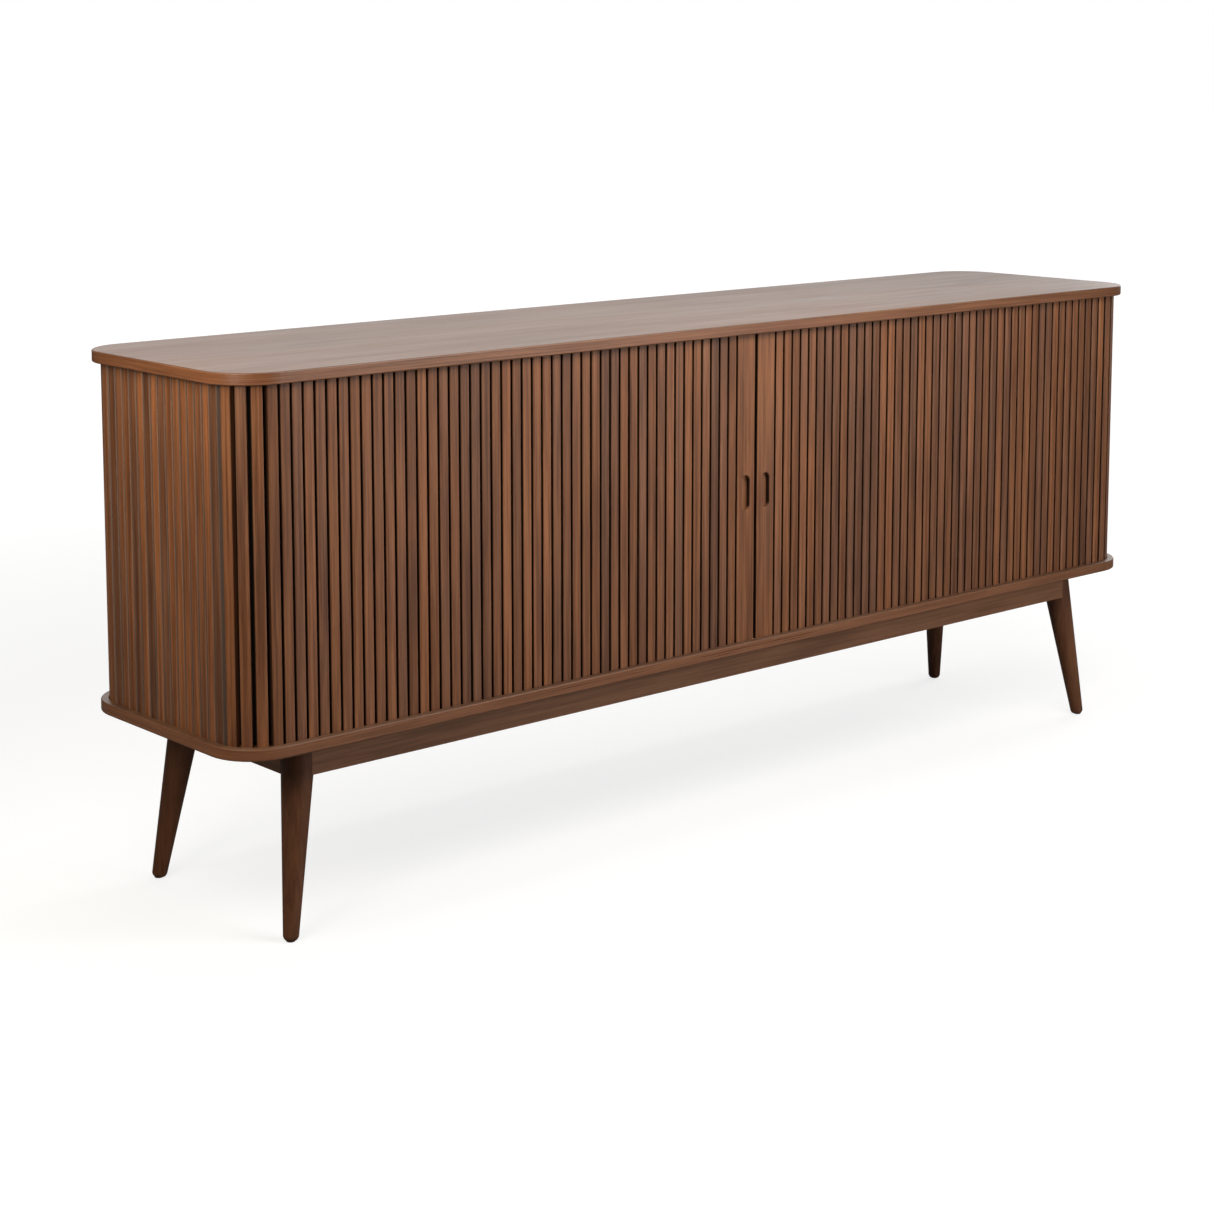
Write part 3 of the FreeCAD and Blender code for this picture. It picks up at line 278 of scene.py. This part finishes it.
def make_tambours():
    """The slats that go round the corner on the real cabinet, and the canvas behind every slat.

    Each door carries its front slats and its near and front canvas, the tail canvas stays on the
    carcass, and the front pieces get meshes of their own.
    """
    for side, hand in SIDES:
        door = side + "_door"
        slats = new_piece(
            "tambour_slats_" + side, lambda shape, hand=hand: front_slats(shape, hand)
        )
        slats.data.materials.append(MATERIALS["slats"])
        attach(slats, door)
        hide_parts("front_slats_" + side)
        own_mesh(slats)

        for part, (start, end, body) in canvas_spans(side).items():
            strip = new_piece(
                f"tambour_canvas_{part}_{side}",
                lambda shape, start=start, end=end, hand=hand: cloth_strip(shape, start, end, hand),
            )
            strip.data.materials.append(MATERIALS["canvas"])
            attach(strip, body)
            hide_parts(f"{part}_cloth_{side}")
            if part == "front":
                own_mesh(strip)


# ---------------------------------------------------------------- material graphs


def rgb(red, green, blue):
    return (red, green, blue, 1.0)


class Graph:
    """One material's nodes, with short calls for the kinds that the materials use."""

    def __init__(self, name):
        self.material = bpy.data.materials.new(name)
        self.material.use_nodes = True
        self.tree = self.material.node_tree
        self.tree.nodes.clear()
        place = self.node("ShaderNodeTexCoord")
        self.position = place.outputs["Object"]
        self.normal = place.outputs["Normal"]

    def node(self, kind, **settings):
        made = self.tree.nodes.new(kind)
        for field, value in settings.items():
            setattr(made, field, value)
        return made

    def feed(self, socket, value):
        """Links an output to the socket, or sets the socket's own number."""
        if isinstance(value, bpy.types.NodeSocket):
            self.tree.links.new(value, socket)
        else:
            socket.default_value = value

    def feed_all(self, made, values):
        for socket, value in zip(made.inputs, values):
            self.feed(socket, value)

    def math(self, operation, *inputs):
        made = self.node("ShaderNodeMath", operation=operation)
        self.feed_all(made, inputs)
        return made.outputs[0]

    def add(self, *values):
        """The sum of two or more."""
        total = values[0]
        for value in values[1:]:
            total = self.math("ADD", total, value)
        return total

    def subtract(self, first, second):
        return self.math("SUBTRACT", first, second)

    def times(self, *values):
        """The product of two or more."""
        product = values[0]
        for value in values[1:]:
            product = self.math("MULTIPLY", product, value)
        return product

    def vector(self, operation, *inputs):
        made = self.node("ShaderNodeVectorMath", operation=operation)
        self.feed_all(made, inputs)
        return made.outputs["Value" if operation == "LENGTH" else "Vector"]

    def split(self, vector):
        made = self.node("ShaderNodeSeparateXYZ")
        self.feed(made.inputs[0], vector)
        return made.outputs

    def join(self, x, y, z):
        made = self.node("ShaderNodeCombineXYZ")
        self.feed_all(made, (x, y, z))
        return made.outputs[0]

    def noise(self, vector, scale=1.0, detail=2.0, roughness=0.5, distortion=0.0):
        made = self.node("ShaderNodeTexNoise")
        for name, value in (
            ("Vector", vector),
            ("Scale", scale),
            ("Detail", detail),
            ("Roughness", roughness),
            ("Distortion", distortion),
        ):
            self.feed(made.inputs[name], value)
        return made.outputs["Fac"]

    def remap(self, value, low, high, to_low=0.0, to_high=1.0):
        """Takes low..high to to_low..to_high, held at both ends."""
        made = self.node("ShaderNodeMapRange", clamp=True)
        self.feed_all(made, (value, low, high, to_low, to_high))
        return made.outputs[0]

    def mix(self, share, first, second):
        """Mixes two colours."""
        made = self.node("ShaderNodeMix", data_type="RGBA")
        self.feed(made.inputs[0], share)
        self.feed(made.inputs[6], first)
        self.feed(made.inputs[7], second)
        return made.outputs[2]

    def finish(self, colour, roughness, height, depth, **constants):
        """Ends the graph in a Principled shader with a bump."""
        bump = self.node("ShaderNodeBump")
        bump.inputs["Strength"].default_value = 1.0
        bump.inputs["Distance"].default_value = depth
        self.feed(bump.inputs["Height"], height)
        shader = self.node("ShaderNodeBsdfPrincipled")
        self.feed(shader.inputs["Base Color"], colour)
        self.feed(shader.inputs["Roughness"], roughness)
        self.feed(shader.inputs["Normal"], bump.outputs[0])
        for name, value in constants.items():
            shader.inputs[name.replace("_", " ")].default_value = value
        output = self.node("ShaderNodeOutputMaterial")
        self.feed(output.inputs[0], shader.outputs[0])
        return self.material


def track_length(graph, radius):
    """Distance from the seam round a rounded outline, for both halves alike, and the heading.

    The heading is 0 on the front, a quarter turn on an end, and half a turn on the back.
    """
    x, y, _ = graph.split(graph.position)
    across = graph.math("ABSOLUTE", x)
    past = graph.math("MAXIMUM", graph.subtract(across, CENTRE_X), 0.0)
    flipped = graph.times(y, -1.0)
    before = graph.math("MAXIMUM", graph.subtract(flipped, CENTRE_Y), 0.0)
    after = graph.math("MAXIMUM", graph.subtract(y, CENTRE_Y), 0.0)
    front_turn = graph.math("ARCTAN2", past, before)
    back_turn = graph.math("ARCTAN2", after, past)
    near = graph.math("MAXIMUM", y, -CENTRE_Y)
    end_run = graph.add(graph.math("MINIMUM", near, CENTRE_Y), CENTRE_Y)
    on_end = graph.math("GREATER_THAN", past, 0.0)
    behind = graph.math("GREATER_THAN", y, 0.0)
    straight_back = graph.times(graph.subtract(1.0, on_end), behind)
    turn = graph.times(graph.add(front_turn, back_turn), on_end)
    turn = graph.add(turn, graph.times(straight_back, math.pi))
    along_front = graph.math("MINIMUM", across, CENTRE_X)
    length = graph.add(along_front, graph.times(turn, radius), graph.times(end_run, on_end))
    both_runs = graph.times(straight_back, CENTRE_X * 2 + 2 * CENTRE_Y)
    walked = graph.times(straight_back, graph.times(along_front, 2.0))
    return graph.subtract(graph.add(length, both_runs), walked), turn


def wood_grain(graph, coordinate, fine=1.0):
    """Growth bands, streaks and pores along the coordinate's Z axis, each from 0 to 1.

    The coordinate is in metres. At a fineness of 1, bands are about 30 mm wide and streaks 4 mm.
    Pores are about a millimetre wide.
    """
    wide = graph.vector("MULTIPLY", coordinate, (30.0 * fine, 30.0 * fine, 2.4))
    bands = graph.remap(graph.noise(wide, 1.0, 3.0, 0.55, 0.9), 0.3, 0.7)
    medium = graph.vector("MULTIPLY", coordinate, (260.0 * fine, 260.0 * fine, 5.0))
    streaks = graph.remap(graph.noise(medium, 1.0, 4.0, 0.62, 0.35), 0.34, 0.66)
    small = graph.vector("MULTIPLY", coordinate, (1100.0, 1100.0, 34.0))
    pores = graph.remap(graph.noise(small), 0.6, 0.74)
    return bands, streaks, pores


def grain_along(graph, axis):
    """The object's coordinates turned so that Z runs along the grain."""
    x, y, z = graph.split(graph.position)
    order = {"X": (y, z, x), "Y": (x, z, y), "Z": (x, y, z)}
    return graph.join(*order[axis])


def wood_colours(graph, palette, bands, streaks, pores, blotch, shares=VENEER_SHARES):
    """Three tones of one timber, mixed by its figure, with darker pores."""
    dark, middle, light = (rgb(*tone) for tone in palette)
    parts = (bands, streaks, blotch)
    figure = graph.add(*[graph.times(part, share) for part, share in zip(parts, shares)])
    low = graph.remap(figure, 0.05, 0.5)
    high = graph.remap(figure, 0.45, 0.95)
    colour = graph.mix(high, graph.mix(low, dark, middle), light)
    return graph.mix(graph.times(pores, PORE_DARKNESS), colour, dark)


def patches(graph, vector, scale, low, high, to_low=0.0, to_high=1.0, detail=3.0, roughness=0.5):
    """Uneven patches from to_low to to_high."""
    return graph.remap(graph.noise(vector, scale, detail, roughness), low, high, to_low, to_high)


def grain_height(graph, streaks, pores, ridge, pit):
    """Streaks stand up by the ridge's share of the bump, and pores go down by the pit's."""
    return graph.subtract(graph.times(streaks, ridge), graph.times(pores, pit))


def board_material(name, palette, edge_palette):
    """Veneer along X on the faces, and a lipping whose grain follows the edge all the way round,
    with painted shade along the arrises.
    """
    graph = Graph(name)
    _, _, z = graph.split(graph.position)
    _, _, up = graph.split(graph.normal)
    flatness = graph.math("ABSOLUTE", up)
    on_edge = graph.subtract(1.0, graph.remap(flatness, 0.55, 0.7))
    length, _ = track_length(graph, BOARD_CORNER)
    round_edge = graph.join(z, 0.0, length)
    bands, streaks, pores = wood_grain(graph, grain_along(graph, "X"))
    edge_bands, edge_streaks, edge_pores = wood_grain(graph, round_edge, 1.6)
    blotch = patches(graph, graph.position, 3.0, 0.3, 0.7, detail=2.0)
    face = wood_colours(graph, palette, bands, streaks, pores, blotch)
    edge_figure = (edge_bands, edge_streaks, edge_pores, blotch)
    edge = wood_colours(graph, edge_palette, *edge_figure, EDGE_SHARES)
    colour = graph.mix(on_edge, face, edge)
    # Painted shade: the rounded arrises are darkened in patches.
    arris = graph.times(graph.remap(flatness, 0.12, 0.5), graph.remap(flatness, 0.98, 0.8))
    arris_shade_share = graph.times(arris, patches(graph, graph.position, 60.0, 0.3, 0.7, 0.4, 1.0))
    colour = graph.mix(graph.times(arris_shade_share, 0.45), colour, rgb(*ARRIS_PAINTED_SHADE))
    mixed_pores = graph.mix(on_edge, pores, edge_pores)
    mixed_streaks = graph.mix(on_edge, streaks, edge_streaks)
    along = graph.vector("MULTIPLY", graph.position, (1.2, 9.0, 9.0))
    smudge = graph.remap(graph.noise(along, 1.0, 4.0, 0.6, 0.3), 0.35, 0.7, -0.03, 0.04)
    roughness = graph.add(
        smudge,
        graph.times(mixed_streaks, 0.12),
        graph.remap(on_edge, 0.0, 1.0, 0.34, 0.28),
        graph.times(arris, 0.2),
    )
    height = grain_height(graph, mixed_streaks, mixed_pores, 0.35, 0.65)
    return graph.finish(colour, roughness, height, BOARD_BUMP, Specular_IOR_Level=0.45)


def slat_draws(graph, length, side):
    """Each slat's own random tone, hue and shift from 0 to 1; the lead slats' tones are set."""
    past_lead = graph.subtract(length, LEAD_PITCH)
    number = graph.math("FLOOR", graph.math("DIVIDE", past_lead, SLAT_PITCH))
    number = graph.math("MAXIMUM", number, -1.0)
    chance = graph.node("ShaderNodeTexWhiteNoise", noise_dimensions="1D")
    graph.feed(chance.inputs["W"], graph.add(number, graph.times(side, SIDE_SEED)))
    tone, hue, shift = graph.split(chance.outputs["Color"])
    lead = graph.math("LESS_THAN", number, -0.5)
    others = graph.subtract(1.0, lead)
    tone = graph.add(graph.times(tone, others), graph.times(lead, LEAD_TONE))
    led_hue = graph.add(graph.times(hue, others), graph.times(lead, LEAD_HUE))
    return tone, hue, led_hue, shift


def slat_material(name, warm, cool):
    """Separate strips of one timber: each has its own tone, hue and place in the grain.

    The flanks in the gaps carry painted shade, nearly black, on the front, and a pale painted sheen
    on the ends.
    """
    graph = Graph(name)
    x, _, _ = graph.split(graph.position)
    side = graph.math("SIGN", x)
    length, turn = track_length(graph, CORNER_RADIUS)
    tone, hue, led_hue, shift = slat_draws(graph, length, side)
    draws = zip((shift, hue, tone), SLAT_SHIFTS)
    offset = graph.join(*[graph.times(draw, share) for draw, share in draws])
    moved = graph.vector("ADD", graph.position, offset)
    bands, streaks, pores = wood_grain(graph, moved, 0.9)
    figure = (bands, streaks, pores, patches(graph, moved, 4.0, 0.3, 0.7, detail=2.0))
    warm_wood = wood_colours(graph, warm, *figure, SLAT_SHARES)
    cool_wood = wood_colours(graph, cool, *figure, SLAT_SHARES)
    stretched = graph.vector("MULTIPLY", moved, (20.0, 20.0, 4.0))
    drift = patches(graph, stretched, 1.0, 0.3, 0.7, -0.3, 0.3, detail=2.0)
    coolness = graph.remap(graph.add(led_hue, drift), 0.25, 0.95)
    brightness = graph.times(
        graph.remap(tone, 0.0, 1.0, 0.80, 1.20), graph.remap(streaks, 0.0, 1.0, 0.88, 1.12)
    )
    toned = graph.node("ShaderNodeHueSaturation")
    graph.feed(toned.inputs["Value"], brightness)
    graph.feed(toned.inputs["Color"], graph.mix(coolness, warm_wood, cool_wood))
    colour = toned.outputs[0]

    nx, ny, _ = graph.split(graph.normal)
    on_end = graph.math("SINE", turn)
    sideways = graph.add(
        graph.times(nx, side, graph.math("COSINE", turn)), graph.times(ny, on_end)
    )
    flank = graph.math("ABSOLUTE", sideways)
    # Painted shade: the flanks in the front run's gaps go nearly black; the ends are left out.
    gap_shade_share = graph.times(
        graph.remap(flank, 0.8, 0.99, 0.0, 0.96), graph.subtract(1.0, graph.times(on_end, 0.95))
    )
    colour = graph.mix(gap_shade_share, colour, rgb(*FLANK_PAINTED_SHADE))
    # Painted sheen: on the ends, flanks that face the front are made pale.
    end_sheen_share = graph.times(graph.remap(ny, -0.75, -0.95), graph.remap(on_end, 0.85, 0.99), 0.8)
    colour = graph.mix(end_sheen_share, colour, rgb(*FLANK_PAINTED_SHEEN))
    arris = graph.times(graph.remap(flank, 0.25, 0.5), graph.remap(flank, 0.85, 0.6))
    rubbed = graph.times(arris, patches(graph, moved, 45.0, 0.35, 0.7), 0.3)
    colour = graph.mix(rubbed, colour, rgb(*PALE_ARRIS))

    smudge = patches(graph, graph.position, 9.0, 0.35, 0.7, -0.03, 0.05, roughness=0.6)
    roughness = graph.add(graph.times(streaks, 0.1), smudge, 0.42)
    height = grain_height(graph, streaks, pores, 0.4, 0.6)
    return graph.finish(colour, roughness, height, TIMBER_BUMP, Specular_IOR_Level=0.35)


def plain_wood(name, palette, axis, roughness=0.42, fine=1.0, specular=0.4, wear=0.25):
    """Solid timber or veneer with its grain along one axis, rubbed pale at its arrises."""
    graph = Graph(name)
    bands, streaks, pores = wood_grain(graph, grain_along(graph, axis), fine)
    blotch = patches(graph, graph.position, 6.0, 0.3, 0.7, detail=2.0)
    colour = wood_colours(graph, palette, bands, streaks, pores, blotch)
    components = graph.split(graph.normal)
    total = graph.add(*[graph.math("ABSOLUTE", component) for component in components])
    arris = graph.remap(total, 1.1, 1.4)
    rubbed = graph.times(arris, patches(graph, graph.position, 50.0, 0.4, 0.7), wear)
    light = rgb(*[min(1.0, tone * 1.35) for tone in palette[2]])
    colour = graph.mix(rubbed, colour, light)
    smudge = patches(graph, graph.position, 9.0, 0.35, 0.7, -0.04, 0.05, roughness=0.6)
    rough = graph.add(graph.times(streaks, 0.1), smudge, roughness)
    height = grain_height(graph, streaks, pores, 0.4, 0.6)
    return graph.finish(colour, rough, height, TIMBER_BUMP, Specular_IOR_Level=specular)


def leg_material(name, palette):
    """Turned timber: the grain runs down each leg, and the foot is scuffed."""
    graph = Graph(name)
    _, _, z = graph.split(graph.position)
    bands, streaks, pores = wood_grain(graph, graph.position, 0.9)
    blotch = patches(graph, graph.position, 8.0, 0.3, 0.7, detail=2.0)
    colour = wood_colours(graph, palette, bands, streaks, pores, blotch)
    low_down = graph.remap(z, 0.012, 0.002)
    scuffed = graph.times(low_down, patches(graph, graph.position, 140.0, 0.4, 0.65), 0.4)
    colour = graph.mix(scuffed, colour, rgb(*FOOT_SCUFF))
    smudge = patches(graph, graph.position, 12.0, 0.35, 0.7, -0.04, 0.05, roughness=0.6)
    rough = graph.add(graph.times(streaks, 0.08), smudge, 0.4)
    height = grain_height(graph, streaks, pores, 0.35, 0.5)
    return graph.finish(colour, rough, height, LEG_BUMP, Specular_IOR_Level=0.25)


def canvas_material(name):
    """Tight black plain weave, a little worn in patches."""
    graph = Graph(name)
    _, _, z = graph.split(graph.position)
    length, _ = track_length(graph, CORNER_RADIUS)
    thread = 2 * math.pi / WEAVE_PERIOD
    warp = graph.math("SINE", graph.times(length, thread))
    weft = graph.math("SINE", graph.times(z, thread))
    weave = graph.remap(graph.times(warp, weft), -1.0, 1.0)
    fluff = graph.noise(graph.position, 900.0, 3.0, 0.6)
    worn = patches(graph, graph.position, 14.0, 0.35, 0.7)
    colour = graph.mix(weave, rgb(0.003, 0.0027, 0.0024), rgb(0.009, 0.0080, 0.0070))
    colour = graph.mix(graph.times(worn, 0.3), colour, rgb(0.014, 0.0125, 0.011))
    roughness = graph.remap(fluff, 0.3, 0.7, 0.82, 0.96)
    height = graph.add(weave, graph.times(fluff, 0.4))
    return graph.finish(colour, roughness, height, CANVAS_BUMP, Specular_IOR_Level=0.1)


def steel_material(name):
    """Zinc-plated steel: fine rolled lines, and a slightly yellow, uneven plating."""
    graph = Graph(name)
    plating = patches(graph, graph.position, 220.0, 0.35, 0.7, detail=4.0, roughness=0.6)
    lines = graph.noise(graph.vector("MULTIPLY", graph.position, (2600.0, 300.0, 2600.0)))
    colour = graph.mix(plating, rgb(0.50, 0.50, 0.49), rgb(0.66, 0.63, 0.55))
    roughness = graph.add(graph.remap(plating, 0.0, 1.0, 0.26, 0.42), graph.times(lines, 0.1))
    return graph.finish(colour, roughness, lines, STEEL_BUMP, Metallic=1.0)


def nylon_material(name):
    """Dark moulded nylon with a fine grain, scuffed where it meets the floor."""
    graph = Graph(name)
    _, _, z = graph.split(graph.position)
    grain = graph.noise(graph.position, 1400.0, 3.0, 0.6)
    scuffed = graph.times(
        graph.remap(z, 0.0012, 0.0), patches(graph, graph.position, 300.0, 0.4, 0.7), 0.6
    )
    colour = graph.mix(grain, rgb(0.030, 0.026, 0.023), rgb(0.050, 0.044, 0.038))
    colour = graph.mix(scuffed, colour, rgb(0.13, 0.12, 0.11))
    roughness = graph.add(graph.times(grain, 0.18), 0.42)
    return graph.finish(colour, roughness, grain, NYLON_BUMP)


MATERIALS = {
    "boards": board_material("walnut_veneer_boards", WALNUT_FACE, WALNUT_EDGE),
    "slats": slat_material("walnut_slats_stained_painted_gap_shade", WALNUT_WARM, WALNUT_COOL),
    "upright": plain_wood("walnut_veneer_upright", WALNUT_INSIDE, "Z"),
    "shelf": plain_wood("walnut_veneer_shelf", WALNUT_INSIDE, "X"),
    "panel": plain_wood("walnut_plywood_panel", WALNUT_INSIDE, "X", 0.5, 0.8),
    "long_rail": plain_wood("walnut_rail_long", WALNUT_FRAME, "X"),
    "end_rail": plain_wood("walnut_rail_end", WALNUT_FRAME, "Y"),
    "leg": leg_material("walnut_turned_leg", WALNUT_LEG),
    "beech_long": plain_wood("beech_planed", BEECH, "Y", 0.55, 1.2, 0.35),
    "beech_dowel": plain_wood("beech_dowel", BEECH, "Z", 0.6, 1.2, 0.35),
    "canvas": canvas_material("canvas_black"),
    "steel": steel_material("steel_zinc_plated"),
    "nylon": nylon_material("nylon_dark"),
}

MATERIAL_NODES = {
    "boards": ("top_board", "bottom_board"),
    "upright": ("inner_side_left", "inner_side_right", "centre_divider"),
    "shelf": ("shelf_left", "shelf_right"),
    "panel": ("inner_back_left", "inner_back_right", "back_panel"),
    "long_rail": ("front_rail", "back_rail"),
    "end_rail": ("end_rail_left", "end_rail_right"),
    "leg": ("leg_front_left", "leg_front_right", "leg_back_left", "leg_back_right"),
    "beech_long": ("cross_brace", "corner_blocks"),
    "beech_dowel": ("dowels", "seam_stops"),
    "steel": ("shelf_pins", "back_screws", "leg_bolts", "frame_screws"),
    "nylon": ("foot_glides",),
}


def dress_nodes():
    """Gives every CAD node that stays its material. Those not in the table are slats."""
    chosen = {name: key for key, names in MATERIAL_NODES.items() for name in names}
    for name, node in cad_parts.items():
        if node.hide_render:
            continue
        for slot in node.material_slots:
            slot.material = MATERIALS[chosen.get(name, "slats")]


# ---------------------------------------------------------------- studio


def make_floor():
    """A plain pale floor. It returns little light, as a studio floor in a dark room does."""

    def fill(shape):
        bmesh.ops.create_grid(shape, x_segments=8, y_segments=8, size=FLOOR_SIZE)

    floor = new_piece("studio_floor", fill)
    graph = Graph("studio_floor_pale")
    cloudy = graph.noise(graph.position, 1.5, 3.0)
    colour = graph.mix(cloudy, rgb(0.29, 0.29, 0.288), rgb(0.31, 0.31, 0.308))
    speckle = graph.noise(graph.position, 260.0)
    roughness = graph.remap(speckle, 0.3, 0.7, 0.86, 0.94)
    graph.finish(colour, roughness, speckle, FLOOR_BUMP, Specular_IOR_Level=0.0)
    pale = next(node for node in graph.tree.nodes if node.type == "BSDF_PRINCIPLED")
    output = next(node for node in graph.tree.nodes if node.type == "OUTPUT_MATERIAL")
    away = graph.vector("LENGTH", graph.position)
    glow = graph.remap(away, *FLOOR_FADE, FLOOR_GLOW_NEAR, FLOOR_GLOW_FAR)
    pale.inputs["Emission Color"].default_value = rgb(*WHITE)
    graph.feed(pale.inputs["Emission Strength"], glow)
    dim = graph.node("ShaderNodeBsdfDiffuse")
    dim.inputs["Color"].default_value = rgb(*FLOOR_BOUNCE)
    path = graph.node("ShaderNodeLightPath")
    choice = graph.node("ShaderNodeMixShader")
    graph.feed_all(choice, (path.outputs["Is Camera Ray"], dim.outputs[0], pale.outputs[0]))
    graph.feed(output.inputs[0], choice.outputs[0])
    floor.data.materials.append(graph.material)


def make_world():
    """A white backdrop for the camera; for the object a dim room with a bright wall behind it."""
    world = bpy.data.worlds.new("studio")
    bpy.context.scene.world = world
    world.use_nodes = True
    tree = world.node_tree
    tree.nodes.clear()
    seen = tree.nodes.new("ShaderNodeBackground")
    seen.inputs["Color"].default_value = rgb(*WHITE)
    place = tree.nodes.new("ShaderNodeTexCoord")
    towards = tree.nodes.new("ShaderNodeVectorMath")
    towards.operation = "DOT_PRODUCT"
    towards.inputs[1].default_value = Vector(WALL_DIRECTION).normalized()
    tree.links.new(place.outputs["Generated"], towards.inputs[0])
    glow = tree.nodes.new("ShaderNodeMapRange")
    glow.interpolation_type = "SMOOTHSTEP"
    for name, number in (
        ("From Min", WALL_EDGE),
        ("From Max", WALL_CORE),
        ("To Min", ROOM_LIGHT),
        ("To Max", WALL_LIGHT),
    ):
        glow.inputs[name].default_value = number
    tree.links.new(towards.outputs["Value"], glow.inputs["Value"])
    surround = tree.nodes.new("ShaderNodeBackground")
    surround.inputs["Color"].default_value = rgb(*ROOM_COLOUR)
    tree.links.new(glow.outputs[0], surround.inputs["Strength"])
    path = tree.nodes.new("ShaderNodeLightPath")
    choice = tree.nodes.new("ShaderNodeMixShader")
    output = tree.nodes.new("ShaderNodeOutputWorld")
    tree.links.new(path.outputs["Is Camera Ray"], choice.inputs[0])
    tree.links.new(surround.outputs[0], choice.inputs[1])
    tree.links.new(seen.outputs[0], choice.inputs[2])
    tree.links.new(choice.outputs[0], output.inputs[0])


def add_softbox(name, place, target, width, height, power, colour):
    """A rectangular soft light that the camera doesn't see."""
    light = bpy.data.lights.new(name, "AREA")
    light.shape = "RECTANGLE"
    light.size = width
    light.size_y = height
    light.energy = power
    light.color = colour
    lamp = bpy.data.objects.new(name, light)
    lamp.location = place
    lamp.rotation_mode = "QUATERNION"
    lamp.rotation_quaternion = (Vector(place) - Vector(target)).to_track_quat("Z", "Y")
    lamp.visible_camera = False
    bpy.context.scene.collection.objects.link(lamp)


def make_camera():
    lens = bpy.data.cameras.new("camera")
    lens.lens = CAMERA_LENS
    lens.sensor_width = CAMERA_SENSOR
    lens.shift_y = CAMERA_SHIFT
    lens.clip_start, lens.clip_end = CAMERA_CLIP
    camera = bpy.data.objects.new("camera", lens)
    bpy.context.scene.collection.objects.link(camera)
    camera.location = CAMERA_PLACE
    pitch = math.radians(90 - CAMERA_PITCH)
    camera.rotation_euler = (pitch, 0.0, math.radians(-CAMERA_HEADING))
    bpy.context.scene.camera = camera


make_camera()
make_tambours()
dress_nodes()
make_floor()
make_world()
for softbox in SOFTBOXES:
    add_softbox(*softbox)
bpy.context.scene.view_settings.view_transform = "Standard"

bpy.context.view_layer.update()
